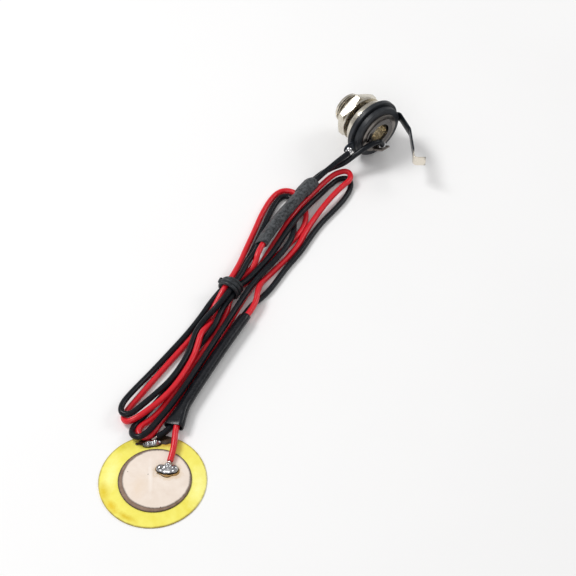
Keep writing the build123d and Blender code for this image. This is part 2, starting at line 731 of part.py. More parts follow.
hex_nut.part.label = "hex_nut"
export_step(hex_nut.part, "parts/hex_nut.step")
flat_washer.part.label = "flat_washer"
export_step(flat_washer.part, "parts/flat_washer.step")
front_wafer.part.label = "front_wafer"
export_step(front_wafer.part, "parts/front_wafer.step")
tip_spring.part.label = "tip_spring"
export_step(tip_spring.part, "parts/tip_spring.step")
rear_wafer.part.label = "rear_wafer"
export_step(rear_wafer.part, "parts/rear_wafer.step")
earth_ring.part.label = "earth_ring"
export_step(earth_ring.part, "parts/earth_ring.step")
tip_solder.part.label = "tip_solder"
export_step(tip_solder.part, "parts/tip_solder.step")
earth_solder.part.label = "earth_solder"
export_step(earth_solder.part, "parts/earth_solder.step")
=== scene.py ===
"""Visual model of a drum trigger transducer: piezo disc, folded lead with sleeves and tie, and quarter-inch jack."""

import logging
import math
from dataclasses import dataclass, field
from enum import Enum

import bmesh
import bpy
from mathutils import Matrix, Vector, noise

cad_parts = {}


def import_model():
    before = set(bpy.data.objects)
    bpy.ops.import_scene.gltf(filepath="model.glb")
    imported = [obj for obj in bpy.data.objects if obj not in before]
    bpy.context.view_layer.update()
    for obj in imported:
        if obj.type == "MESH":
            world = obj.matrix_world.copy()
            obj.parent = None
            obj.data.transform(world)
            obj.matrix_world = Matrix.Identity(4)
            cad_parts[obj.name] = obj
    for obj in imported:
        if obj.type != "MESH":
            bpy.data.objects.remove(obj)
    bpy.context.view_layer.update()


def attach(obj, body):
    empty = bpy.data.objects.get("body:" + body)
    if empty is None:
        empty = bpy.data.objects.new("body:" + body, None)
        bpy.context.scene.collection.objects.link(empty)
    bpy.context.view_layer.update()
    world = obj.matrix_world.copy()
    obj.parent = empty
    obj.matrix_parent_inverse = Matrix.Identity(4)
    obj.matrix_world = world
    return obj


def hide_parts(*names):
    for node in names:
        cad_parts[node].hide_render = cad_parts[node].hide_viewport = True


Point = tuple[float, float, float]
Colour = tuple[float, float, float]
Piece = bpy.types.Object
Socket = bpy.types.NodeSocket
Ring = list[bmesh.types.BMVert]

LOG = logging.getLogger("trigger")
ROOT = "root"
MM = 0.001
WHITE = (1.0, 1.0, 1.0, 1.0)

# Where a sleeve is drawn in between its wires, as a half width in millimetres
WAIST_WIDTH = 0.5
# A direction that no strand of the tie follows, from which its sections are laid out
STRAND_GUIDE = (1.0, 0.13, 0.21)
# Range of the two patterns' sum over which a finish goes from its smoothest to its roughest
PATTERN_RANGE = (0.4, 1.6)


def mm(*values: float) -> tuple[float, ...]:
    """Turn millimetres into metres."""
    return tuple(value * MM for value in values)


def track(*points: Point) -> list[Point]:
    """Turn the points of a route from millimetres into metres."""
    return [mm(*point) for point in points]


# Routes of the wires, given in millimetres, from the disc to the splices and from the splices to the jack
RED_ROUTE = track(
    (6.3, -1.45, 1.45), (9, -0.85, 1.8), (11.7, 0.2, 2.2), (14.4, 1.45, 2.3), (17.2, 2.2, 2.52), (23, 2.88, 2.52),
    (30.5, 2.91, 2.52), (38.5, 2.88, 2.52), (46, 2.73, 2.52), (53, 2.53, 2.52), (59.5, 2.18, 2.52), (63.63, 3.55, 3.09),
    (67.21, 4.61, 1.55), (70.5, 4.28, 0.82), (75.5, 3.2, 0.82), (80, 2.31, 0.82), (85.01, 1.7, 1.01),
    (90.51, 2.07, 1.37), (96.51, 1.88, 1.61), (102.5, 1.2, 2.3), (108.6, 0, 2.55), (112.8, -1.3, 2.55),
    (115.2, 1, 2.55), (113, 3.6, 2.55), (109.2, 4.9, 2.55), (103.5, 6, 2.6), (97, 7.1, 2.7), (90.5, 7.6, 2.75),
    (83.5, 8, 1.3), (76.5, 8.03, 0.82), (70.5, 7.96, 0.82), (66, 8.36, 0.92), (63.2, 9.58, 1.46), (60.8, 9.77, 1.49),
    (58.41, 9.51, 1.37), (54.5, 8.3, 0.82), (50, 7.76, 0.82), (43.5, 7.71, 0.82), (36, 7.92, 0.82), (28, 7.98, 0.82),
    (20.5, 8.17, 0.82), (15.59, 9.04, 0.85), (12.47, 10.44, 1.18), (10.25, 10.29, 1.18), (9.36, 8.39, 1.18),
    (10.68, 6.57, 1.15), (14.93, 6.61, 0.85), (20, 6.36, 0.82), (28, 6.23, 0.82), (36, 6.2, 0.82), (43.5, 6.04, 0.82),
    (50, 6.02, 0.82), (57.5, 6.39, 0.82), (64.5, 6.6, 0.82), (70.5, 6.35, 0.82), (76.49, 5.77, 0.82),
    (82.47, 4.57, 0.82), (88.46, 3.38, 0.82), (93.58, 3.83, 0.82), (97.8, 6.1, 0.82), (101, 9, 0.82),
    (102.2, 12.6, 0.82), (100.8, 15.6, 0.82), (97, 16.6, 0.82), (90.5, 16.3, 0.82), (83.5, 15.1, 0.85),
    (76.5, 13.9, 1.61), (70.51, 12.6, 2.63), (66.01, 11.9, 3.73), (63.2, 11.52, 4.42), (60.8, 11.45, 4.44),
    (58.39, 11.48, 4.23), (54.49, 11.64, 2.62), (50, 11.85, 0.95), (43.5, 12.49, 0.82), (36, 13.6, 0.82),
    (28, 14.6, 0.82), (20.5, 15.5, 0.82), (15.6, 16.1, 0.82), (12.6, 16.02, 0.94), (11.22, 14, 1.76),
    (12.83, 12.13, 2.81), (16.01, 10.76, 2.8), (21.5, 9, 2.61), (28, 8.1, 2.55), (36, 8.32, 2.64), (39.99, 9.12, 3.11),
    (43.99, 10.19, 3.58), (48, 10.2, 1.78), (51.5, 10.07, 0.95), (54.5, 10.6, 0.9), (58.4, 11.31, 1.49),
    (60.8, 11.42, 1.54), (63.2, 11.33, 1.52), (66.6, 10.29, 1.34), (70, 8.98, 2.14), (72.2, 8.61, 3.36),
    (74.2, 9.08, 4.62), (79.4, 9.48, 4.62), (85, 9.38, 4.72), (86.5, 9.24, 4.74),
)
BLACK_ROUTE = track(
    (11.15, 5.2, 1.15), (12.85, 4.2, 1.25), (14.6, 3.5, 1.4), (17.2, 3.44, 1.28), (23, 4.12, 1.28), (30.5, 4.15, 1.28),
    (38.5, 4.12, 1.28), (46, 3.97, 1.28), (53, 3.77, 1.28), (59.5, 3.42, 1.28), (62.77, 2.53, 0.82),
    (66.39, 1.67, 0.82), (70.5, 1.4, 0.82), (76.5, 1.09, 0.82), (82.5, 0.17, 0.82), (89, 0.17, 0.82), (95, -0.21, 0.82),
    (100.5, -1.3, 0.82), (106, -2.2, 0.82), (111, -2, 0.82), (114, -0.2, 0.82), (112.9, 2.6, 0.82), (108.8, 3.9, 0.9),
    (103.5, 4.2, 2.2), (97, 5.15, 3.07), (90.5, 5.92, 3.42), (83.5, 6.2, 2.94), (76.5, 6.28, 2.59), (70.5, 7.2, 2.55),
    (66, 7.9, 2.64), (63.2, 8.87, 3.04), (60.8, 8.89, 3.04), (58.39, 9.02, 3.03), (54.5, 9.37, 2.58),
    (51.5, 8.96, 2.57), (48.01, 8.38, 2.62), (44.01, 8.68, 2.26), (40.01, 9.68, 1.21), (36, 9.87, 0.85),
    (28, 9.8, 0.82), (20.5, 10.66, 0.82), (15.59, 11.33, 0.82), (11.5, 12.16, 1.01), (8.58, 11.12, 1.86),
    (7.94, 8.52, 2.81), (10.5, 7.2, 2.94), (14.8, 6.8, 2.66), (20, 6.2, 2.55), (28, 5.9, 2.55), (36, 5.95, 2.55),
    (43.5, 6.05, 2.55), (50, 6.1, 2.55), (57.5, 6.21, 2.56), (64.51, 6.18, 2.57), (70.51, 5.43, 2.57),
    (76.5, 4.31, 2.57), (81.52, 3.75, 2.68), (86.03, 4.1, 2.68), (90.22, 5.95, 1.08), (94.5, 8.1, 0.83),
    (98.4, 10.2, 0.82), (100.2, 12.5, 0.82), (98.4, 14.6, 0.82), (93.5, 14.6, 0.82), (86.5, 13.6, 0.82),
    (78.5, 12.3, 0.82), (71, 11.8, 0.82), (66.4, 12.42, 1.89), (63.2, 12.29, 2.88), (60.81, 12.3, 3.02),
    (58.41, 12.66, 2.88), (54.51, 13.37, 2.18), (50, 13.45, 1.8), (43.5, 14.31, 0.85), (36, 15.4, 0.82), (28, 16.5, 1),
    (20.5, 17.2, 2.3), (15.3, 17.7, 2.6), (12.5, 16.4, 2.75), (13, 13.9, 3), (16.4, 12.9, 2.8), (21.5, 11.6, 2.55),
    (28, 10, 2.55), (36, 10.1, 2.55), (40, 10.96, 2.55), (44, 11.94, 2.62), (48, 11.8, 2.82), (51.5, 11.07, 3.41),
    (54.5, 10.21, 4.13), (58.4, 9.8, 4.5), (60.8, 9.77, 4.5), (63.2, 9.8, 4.44), (66.6, 9.93, 4.01), (70, 10.39, 3.7),
    (72.2, 10.55, 3.41), (74.2, 10.32, 3.38), (79.4, 10.72, 3.38), (85, 10.62, 3.48), (91, 10.07, 3.58),
    (92.5, 9.88, 3.6),
)
TIP_LEAD_ROUTE = track(
    (89.5, 8.97, 4.79), (91, 8.83, 4.82), (97, 8.08, 4.92), (103, 7.28, 4.92), (108.4, 6, 5.2), (112, 4.7, 5.7),
    (115, 3.2, 6.8), (117.35, 2, 7.4),
)
EARTH_LEAD_ROUTE = track(
    (95.5, 9.51, 3.65), (97, 9.32, 3.68), (103, 8.52, 3.68), (108.6, 7.3, 3.85), (112.4, 5.5, 3.85), (115.6, 2.6, 4.3),
    (118.3, 0.5, 6.3), (121, -1.6, 8), (123.7, -3.4, 8.4), (125.7, -4.4, 7.4), (126, -4.65, 5.7),
)

# Middle lines of the sleeves, and where each sleeve starts and ends along X, given in millimetres
DISC_SLEEVE_ROUTE = track(
    (11.6, 2.18, 1.9), (17.2, 2.82, 1.9), (23, 3.5, 1.9), (30.5, 3.53, 1.9), (38.5, 3.5, 1.9), (46, 3.35, 1.9),
    (53, 3.15, 1.9), (59.5, 2.8, 1.9),
)
JOINT_SLEEVE_ROUTE = track(
    (74.2, 9.7, 4), (79.4, 10.1, 4), (85, 10, 4.1), (91, 9.45, 4.2), (97, 8.7, 4.3), (103, 7.9, 4.3), (109, 6.6, 4.4),
)
DISC_SLEEVE_ENDS = mm(14.4, 56.25)
JOINT_SLEEVE_ENDS = mm(76.8, 101.0)
COVER_SLEEVE_ENDS = mm(99.0, 106.0)


def node_object(node: str) -> Piece:
    """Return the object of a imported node."""
    return bpy.data.objects[node]


def fitted(piece: Piece, finish: "Shop", node: str, slot: str) -> Piece:
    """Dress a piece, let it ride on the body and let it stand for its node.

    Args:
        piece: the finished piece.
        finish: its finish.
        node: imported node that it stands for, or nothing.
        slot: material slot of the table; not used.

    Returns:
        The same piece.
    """
    finish.dress(piece)
    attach(piece, ROOT)
    if node:
        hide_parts(node)
    LOG.info("made %s", piece.name)
    return piece


class Bench:
    """Modelling helpers that work with Blender's own operators."""

    @staticmethod
    def clear() -> None:
        """Deselect everything and leave edit mode."""
        if bpy.context.object is not None and bpy.context.object.mode != "OBJECT":
            bpy.ops.object.mode_set(mode="OBJECT")
        bpy.ops.object.select_all(action="DESELECT")

    @staticmethod
    def edit() -> None:
        """Enter edit mode with everything selected."""
        bpy.ops.object.mode_set(mode="EDIT")
        bpy.ops.mesh.select_all(action="SELECT")

    @staticmethod
    def leave() -> None:
        """Leave edit mode."""
        bpy.ops.object.mode_set(mode="OBJECT")

    @staticmethod
    def settle() -> None:
        """Put the active piece's place, turn and size into its mesh."""
        bpy.ops.object.transform_apply(location=True, rotation=True, scale=True)

    @staticmethod
    def linked(name: str, data: bpy.types.ID) -> Piece:
        """Add an object with its data to the scene."""
        piece = bpy.data.objects.new(name, data)
        bpy.context.scene.collection.objects.link(piece)
        return piece

    @staticmethod
    def stitch(shape: bmesh.types.BMesh, ring: Ring, following: Ring) -> None:
        """Join two rings with the same number of corners by a strip of faces."""
        for step, corner in enumerate(ring):
            after = (step + 1) % len(ring)
            shape.faces.new([corner, ring[after], following[after], following[step]])

    @classmethod
    def meshed(cls, name: str, shape: bmesh.types.BMesh) -> Piece:
        """Turn a drawn shape into a piece with its faces outward."""
        bmesh.ops.recalc_face_normals(shape, faces=shape.faces)
        data = bpy.data.meshes.new(name)
        shape.to_mesh(data)
        shape.free()
        return cls.linked(name, data)

    @classmethod
    def pick(cls, piece: Piece) -> None:
        """Make one piece the only selected and active one."""
        cls.clear()
        piece.select_set(True)
        bpy.context.view_layer.objects.active = piece

    @classmethod
    def named(cls, name: str) -> Piece:
        """Name the active object and its mesh."""
        piece = bpy.context.object
        piece.name = name
        piece.data.name = name
        return piece

    @classmethod
    def ball(cls, name: str, centre: Point, squeeze: Point, segments: int, rings: int) -> Piece:
        """Add a squeezed ball, with its centre in metres and its radii in millimetres."""
        cls.clear()
        bpy.ops.mesh.primitive_uv_sphere_add(segments=segments, ring_count=rings, radius=MM, location=centre)
        piece = cls.named(name)
        piece.scale = squeeze
        cls.settle()
        return piece

    @classmethod
    def turned(cls, name: str, profile: list[tuple[float, float]], closed: bool, sides: int = 96) -> Piece:
        """Turn a profile round the Z axis, ring by ring.

        Args:
            name: name of the piece.
            profile: radius and height of each ring in millimetres, in order round the section.
            closed: True joins the last ring to the first, False caps both ends.
            sides: number of sides of each ring.

        Returns:
            The piece, lying on the Z axis.
        """
        cls.clear()
        radius, height = profile[0]
        bpy.ops.mesh.primitive_circle_add(
            vertices=sides, radius=radius * MM, fill_type="NOTHING" if closed else "NGON", location=(0, 0, height * MM)
        )
        piece = cls.named(name)
        cls.settle()
        cls.edit()
        rings = profile[1:] + ([profile[0]] if closed else [])
        for new_radius, new_height in rings:
            bpy.ops.mesh.extrude_region_move(TRANSFORM_OT_translate={"value": (0, 0, (new_height - height) * MM)})
            factor = new_radius / radius
            bpy.ops.transform.resize(value=(factor, factor, 1), center_override=(0, 0, new_height * MM))
            radius, height = new_radius, new_height
        bpy.ops.mesh.select_all(action="SELECT")
        bpy.ops.mesh.remove_doubles(threshold=0.001 * MM)
        bpy.ops.mesh.normals_make_consistent(inside=False)
        cls.leave()
        return piece

    @classmethod
    def apply(cls, piece: Piece, kind: str, **settings: object) -> Piece:
        """Add a modifier with its settings and apply it."""
        cls.pick(piece)
        modifier = piece.modifiers.new(kind.lower(), kind)
        for key, value in settings.items():
            setattr(modifier, key, value)
        bpy.ops.object.modifier_apply(modifier=modifier.name)
        return piece

    @classmethod
    def rounded(cls, piece: Piece, width: float, angle: float) -> Piece:
        """Round the sharp edges of a piece.

        Args:
            piece: the piece to shape.
            width: width of the rounding in millimetres.
            angle: only edges sharper than this many degrees are rounded.

        Returns:
            The same piece.
        """
        cls.apply(
            piece, "BEVEL", width=width * MM, segments=2, limit_method="ANGLE", angle_limit=math.radians(angle),
            use_clamp_overlap=True,
        )
        return cls.smooth(piece)

    @classmethod
    def smooth(cls, piece: Piece, angle: float = 38.0) -> Piece:
        """Shade a piece smooth except at sharp edges."""
        cls.pick(piece)
        bpy.ops.object.shade_smooth_by_angle(angle=math.radians(angle))
        return piece

    @classmethod
    def cut(cls, piece: Piece, tool: Piece, operation: str = "DIFFERENCE") -> Piece:
        """Cut a piece with a tool piece, or keep what both share, and remove the tool."""
        cls.apply(piece, "BOOLEAN", object=tool, operation=operation, solver="EXACT")
        bpy.data.objects.remove(tool, do_unlink=True)
        return piece

    @classmethod
    def joined(cls, name: str, pieces: list[Piece]) -> Piece:
        """Join pieces into one object."""
        cls.clear()
        for piece in pieces:
            piece.select_set(True)
        bpy.context.view_layer.objects.active = pieces[0]
        bpy.ops.object.join()
        return cls.named(name)

    @classmethod
    def placed(cls, piece: Piece, place: Matrix) -> Piece:
        """Move a piece to its place and put that place into its mesh."""
        cls.pick(piece)
        piece.matrix_world = place
        cls.settle()
        return piece

    @classmethod
    def copy_of(cls, node: str, name: str) -> Piece:
        """Copy a node's mesh and merge its loose triangles into clean faces."""
        source = node_object(node)
        piece = source.copy()
        piece.data = source.data.copy()
        piece.name = name
        piece.data.name = name
        piece.data.materials.clear()
        bpy.context.scene.collection.objects.link(piece)
        piece.hide_render = False
        piece.hide_viewport = False
        cls.pick(piece)
        cls.edit()
        bpy.ops.mesh.remove_doubles(threshold=0.002 * MM)
        bpy.ops.mesh.dissolve_limited(angle_limit=math.radians(2.0))
        cls.leave()
        return piece


class Nodes:
    """Small helper that adds and links shader nodes."""

    def __init__(self, tree: bpy.types.NodeTree) -> None:
        """Keep the tree that the nodes go into."""
        self.tree = tree

    def add(self, kind: str, inputs: dict[int | str, object] | None = None, **settings: object) -> bpy.types.Node:
        """Add a node.

        Args:
            kind: type of the node.
            inputs: what goes into each input, a constant or the socket that is linked to it.
            **settings: properties of the node.

        Returns:
            The node.
        """
        node = self.tree.nodes.new(kind)
        for key, value in settings.items():
            setattr(node, key, value)
        for key, value in (inputs or {}).items():
            if isinstance(value, Socket):
                self.link(value, node.inputs[key])
            else:
                node.inputs[key].default_value = value
        return node

    def link(self, source: Socket, target: Socket) -> None:
        """Link two sockets."""
        self.tree.links.new(source, target)

    def noise(self, vector: Socket, scale: float, detail: float, roughness: float = 0.55) -> Socket:
        """Add a noise pattern and return its value."""
        inputs = {"Vector": vector, "Scale": scale, "Detail": detail, "Roughness": roughness}
        return self.add("ShaderNodeTexNoise", inputs).outputs["Fac"]

    def spread(self, value: Socket, low: float, high: float, to_low: float, to_high: float) -> Socket:
        """Map a value from one range to another, held at both ends."""
        inputs = {"Value": value, "From Min": low, "From Max": high, "To Min": to_low, "To Max": to_high}
        return self.add("ShaderNodeMapRange", inputs, clamp=True).outputs["Result"]

    def maths(self, operation: str, first: Socket, second: Socket | float, **settings: object) -> Socket:
        """Combine two values."""
        return self.add("ShaderNodeMath", {0: first, 1: second}, operation=operation, **settings).outputs[0]

    def blend(self, mask: Socket, first: Colour | Socket, second: Colour) -> Socket:
        """Blend two colours by a mask."""
        start = (*first, 1.0) if isinstance(first, tuple) else first
        return self.add("ShaderNodeMix", {0: mask, 6: start, 7: (*second, 1.0)}, data_type="RGBA").outputs[2]

    def moved(self, vector: Socket, centre: Point, turn: float = 0.0, scale: Point = (1.0, 1.0, 1.0)) -> Socket:
        """Move a pattern so that its middle is at a point in metres, turned about Z and stretched."""
        inputs = {"Vector": vector, "Location": centre, "Rotation": (0.0, 0.0, turn), "Scale": scale}
        return self.add("ShaderNodeMapping", inputs, vector_type="TEXTURE").outputs["Vector"]

    def distance(self, vector: Socket) -> Socket:
        """Distance of a point from the origin of a vector."""
        return self.add("ShaderNodeVectorMath", {0: vector}, operation="LENGTH").outputs["Value"]

    def flattened(self, vector: Socket, keep: Point) -> Socket:
        """Keep only the directions of a vector that are 1 and not 0 in keep."""
        return self.add("ShaderNodeVectorMath", {0: vector, 1: keep}, operation="MULTIPLY").outputs[0]

    def axis(self, vector: Socket, name: str) -> Socket:
        """One coordinate of a vector."""
        return self.add("ShaderNodeSeparateXYZ", {0: vector}).outputs[name]

    def mixed(self, share: Socket, first: Socket, second: Socket) -> Socket:
        """Mix two shaders by a share."""
        return self.add("ShaderNodeMixShader", {0: share, 1: first, 2: second}).outputs[0]


class Group(Enum):
    """Shared effects, each one shader node group."""

    MOTTLE = "Mottle"
    GRAIN = "Grain"
    SCRATCHES = "Scratches"

    def tree(self) -> bpy.types.NodeTree:
        """Return the group's node tree and build it the first time."""
        found = bpy.data.node_groups.get(self.value)
        if found is not None:
            return found
        tree = bpy.data.node_groups.new(self.value, "ShaderNodeTree")
        for name, way, kind in (
            ("Vector", "INPUT", "Vector"),
            ("Scale", "INPUT", "Float"),
            ("Contrast", "INPUT", "Float"),
            ("Mask", "OUTPUT", "Float"),
        ):
            tree.interface.new_socket(name, in_out=way, socket_type="NodeSocket" + kind)
        nodes = Nodes(tree)
        entry = nodes.add("NodeGroupInput").outputs
        scaled = nodes.add("ShaderNodeVectorMath", operation="SCALE")
        nodes.link(entry["Vector"], scaled.inputs[0])
        nodes.link(entry["Scale"], scaled.inputs["Scale"])
        centred = nodes.maths("SUBTRACT", self.pattern(nodes, scaled.outputs[0]), 0.5)
        stretched = nodes.maths("MULTIPLY", centred, entry["Contrast"])
        nodes.add("NodeGroupOutput", {"Mask": nodes.maths("ADD", stretched, 0.5, use_clamp=True)})
        return tree

    def pattern(self, nodes: Nodes, vector: Socket) -> Socket:
        """Lay the group's own pattern: soft blotches of two sizes, fine even grain, or long fine lines along X."""
        if self is Group.MOTTLE:
            broad, fine = nodes.noise(vector, 1.0, 3.0), nodes.noise(vector, 4.3, 4.0)
            return nodes.maths("ADD", nodes.maths("MULTIPLY", broad, 0.65), nodes.maths("MULTIPLY", fine, 0.35))
        if self is Group.GRAIN:
            return nodes.noise(vector, 1.0, 6.0, 0.7)
        lines = nodes.add("ShaderNodeMapping", {"Vector": vector, "Scale": (0.06, 1.0, 1.0)}).outputs["Vector"]
        return nodes.noise(lines, 1.0, 5.0, 0.65)

    def use(self, nodes: Nodes, vector: Socket, per_mm: float, contrast: float) -> Socket:
        """Place the group in a material.

        Args:
            nodes: the material's nodes.
            vector: coordinates in metres.
            per_mm: features per millimetre.
            contrast: strength of the pattern about its middle.

        Returns:
            The mask socket.
        """
        inputs = {"Scale": per_mm / MM, "Contrast": contrast, "Vector": vector}
        return nodes.add("ShaderNodeGroup", inputs, node_tree=self.tree()).outputs["Mask"]


def ragged(nodes: Nodes, place: Socket, per_mm: float, contrast: float, depth: float) -> Socket:
    """Uneven amount up to a depth that makes the edge of a mark ragged."""
    return nodes.maths("MULTIPLY", Group.MOTTLE.use(nodes, place, per_mm, contrast), depth)


@dataclass(frozen=True)
class Finish:
    """A surface finish with colour variation, roughness variation and fine relief."""

    name: str
    colour: Colour
    second: Colour
    roughness: float
    swing: float = 0.1
    metallic: float = 0.0
    mottle_per_mm: float = 0.5
    mottle_contrast: float = 1.6
    grain_per_mm: float = 8.0
    grain_contrast: float = 1.4
    relief: float = 0.1
    relief_depth: float = 0.02
    specular: float = 0.5
    coat: float = 0.0
    coat_roughness: float = 0.12
    scratched: bool = False

    def material(self) -> bpy.types.Material:
        """Return this finish's material and build it the first time."""
        title = "finish_" + self.name
        found = bpy.data.materials.get(title)
        if found is not None:
            return found
        material = bpy.data.materials.new(title)
        material.use_nodes = True
        material.node_tree.nodes.clear()
        nodes = Nodes(material.node_tree)
        place = nodes.add("ShaderNodeTexCoord").outputs["Object"]
        mask = Group.MOTTLE.use(nodes, place, self.mottle_per_mm, self.mottle_contrast)
        group = Group.SCRATCHES if self.scratched else Group.GRAIN
        grain = group.use(nodes, place, self.grain_per_mm, self.grain_contrast)
        smoothest, roughest = self.roughness - self.swing, self.roughness + self.swing
        relief = {"Strength": self.relief, "Distance": self.relief_depth * MM, "Height": grain}
        inputs = {
            "Base Color": self.tint(nodes, place, nodes.blend(mask, self.colour, self.second)),
            "Metallic": self.metallic,
            "Roughness": nodes.spread(nodes.maths("ADD", mask, grain), *PATTERN_RANGE, smoothest, roughest),
            "Normal": nodes.add("ShaderNodeBump", relief).outputs["Normal"],
            "Specular IOR Level": self.specular,
            "Coat Weight": self.coat,
            "Coat Roughness": self.coat_roughness,
        }
        shader = nodes.add("ShaderNodeBsdfPrincipled", inputs)
        nodes.add("ShaderNodeOutputMaterial", {"Surface": shader.outputs["BSDF"]})
        return material

    def tint(self, nodes: Nodes, place: Socket, colour: Socket) -> Socket:
        """Change the colour over the surface; a plain finish leaves it."""
        return colour


@dataclass(frozen=True)
class StainedFinish(Finish):
    """A finish with soft stains, each with its centre, turn, radii, colour and softness."""

    stains: tuple[tuple[Point, float, Point, Colour, float], ...] = ()
    stain_edge: float = 1.3

    def tint(self, nodes: Nodes, place: Socket, colour: Socket) -> Socket:
        """Lay each stain over the colour, with a ragged edge."""
        uneven = ragged(nodes, place, per_mm=0.55, contrast=2.4, depth=0.8)
        for centre, turn, radii, stain, softness in self.stains:
            reach = nodes.maths("ADD", nodes.distance(nodes.moved(place, mm(*centre), turn, mm(*radii))), uneven)
            mask = nodes.spread(reach, self.stain_edge - softness, self.stain_edge + 0.5 * softness, 1.0, 0.0)
            colour = nodes.blend(mask, colour, stain)
        return colour


@dataclass(frozen=True)
class RimmedFinish(StainedFinish):
    """A disc finish whose colour darkens close to its cut rim."""

    rim_radius: float = 13.5
    rim_width: float = 0.5
    rim_centre: Point = (0.0, 0.0, 0.0)
    rim_colour: Colour = (0.2, 0.12, 0.05)
    rim_strength: float = 0.8

    def tint(self, nodes: Nodes, place: Socket, colour: Socket) -> Socket:
        """Darken the rim, then lay the stains."""
        flat = nodes.flattened(nodes.moved(place, mm(*self.rim_centre)), (1.0, 1.0, 0.0))
        uneven = ragged(nodes, place, per_mm=0.8, contrast=1.5, depth=self.rim_width * MM)
        low, high = mm(self.rim_radius - 0.6 * self.rim_width, self.rim_radius + 0.5 * self.rim_width)
        edge = nodes.spread(nodes.maths("ADD", nodes.distance(flat), uneven), low, high, 0.0, self.rim_strength)
        return super().tint(nodes, place, nodes.blend(edge, colour, self.rim_colour))


@dataclass(frozen=True)
class HighlightedFinish(Finish):
    """A dark finish with a painted highlight in bright metal colour round one place."""

    glint_centre: Point = (0.0, 0.0, 0.0)
    glint_radius: float = 2.0
    glint_edge: float = 1.2
    glint_colour: Colour = (0.7, 0.66, 0.6)

    def tint(self, nodes: Nodes, place: Socket, colour: Socket) -> Socket:
        """Lay the painted highlight's bright metal colour round its place."""
        uneven = ragged(nodes, place, per_mm=0.9, contrast=1.6, depth=1.6 * MM)
        reach = nodes.maths("ADD", nodes.distance(nodes.moved(place, mm(*self.glint_centre))), uneven)
        mask = nodes.spread(reach, *mm(self.glint_radius, self.glint_radius + self.glint_edge), 1.0, 0.0)
        return nodes.blend(mask, colour, self.glint_colour)


@dataclass(frozen=True)
class ThreadedFinish(Finish):
    """A plated finish with painted shade in the grooves between the thread's crests and on the riveted lip at the back.
    """

    centre: Point = (128.6, 0.35, 8.9)
    yaw: float = 66.0
    wall_radius: float = 4.0
    groove_radius: float = 4.38
    crest_radius: float = 4.56
    start: float = 2.35
    end: float = 9.95
    # Colour of the painted shade in the grooves
    groove_shade: Colour = (0.055, 0.048, 0.040)
    lip: float = -3.3
    # Colour of the painted shade on the riveted lip
    lip_shade: Colour = (0.16, 0.15, 0.145)

    def tint(self, nodes: Nodes, place: Socket, colour: Socket) -> Socket:
        """Paint shade into the grooves by their distance from the barrel's axis, and onto the lip behind them."""
        local = nodes.moved(place, mm(*self.centre), math.radians(self.yaw))
        reach = nodes.distance(nodes.flattened(local, (0.0, 1.0, 1.0)))
        length = nodes.axis(local, "X")
        deep = nodes.spread(reach, *mm(self.groove_radius, self.crest_radius), 1.0, 0.0)
        outside = nodes.spread(reach, *mm(self.wall_radius, self.wall_radius + 0.15), 0.0, 1.0)
        ahead = nodes.spread(length, *mm(self.start, self.start + 0.15), 0.0, 1.0)
        short = nodes.spread(length, *mm(self.end, self.end + 0.1), 1.0, 0.0)
        mask = nodes.maths("MULTIPLY", nodes.maths("MULTIPLY", deep, outside), nodes.maths("MULTIPLY", ahead, short))
        behind = nodes.spread(length, *mm(self.lip, self.lip + 0.2), 1.0, 0.0)
        return nodes.blend(behind, nodes.blend(mask, colour, self.groove_shade), self.lip_shade)


@dataclass(frozen=True)
class SolderFinish(Finish):
    """Bright solder that darkens towards its foot with painted shade."""

    foot: float = 0.6
    # Height in millimetres above the foot to which the painted shade reaches
    shade_rise: float = 0.5
    # Colour of the painted shade at the foot
    foot_shade: Colour = (0.012, 0.009, 0.008)

    def tint(self, nodes: Nodes, place: Socket, colour: Socket) -> Socket:
        """Lay painted shade over the foot of the mound, with a ragged edge."""
        uneven = ragged(nodes, place, per_mm=0.35, contrast=2.0, depth=0.5 * MM)
        top = self.foot + self.shade_rise
        level = nodes.maths("SUBTRACT", nodes.axis(place, "Z"), uneven)
        return nodes.blend(nodes.spread(level, *mm(top - 0.45, top - 0.2), 1.0, 0.0), colour, self.foot_shade)


# What the two mounds on the disc share, what both wires share, and what all the plated parts share
MELTED = {
    "colour": (0.16, 0.16, 0.165), "second": (0.80, 0.80, 0.82), "roughness": 0.20, "swing": 0.06, "metallic": 1.0,
    "mottle_per_mm": 0.38, "mottle_contrast": 3.4, "grain_per_mm": 0.7, "relief": 0.10, "relief_depth": 0.10,
}
VINYL = {"mottle_per_mm": 0.35, "grain_per_mm": 3.0, "relief": 0.10, "relief_depth": 0.03}
PLATED = {
    "colour": (0.58, 0.53, 0.44), "second": (0.78, 0.74, 0.65), "swing": 0.10, "metallic": 1.0, "mottle_per_mm": 0.35,
    "mottle_contrast": 2.2, "grain_per_mm": 9.0, "relief": 0.12, "scratched": True,
}


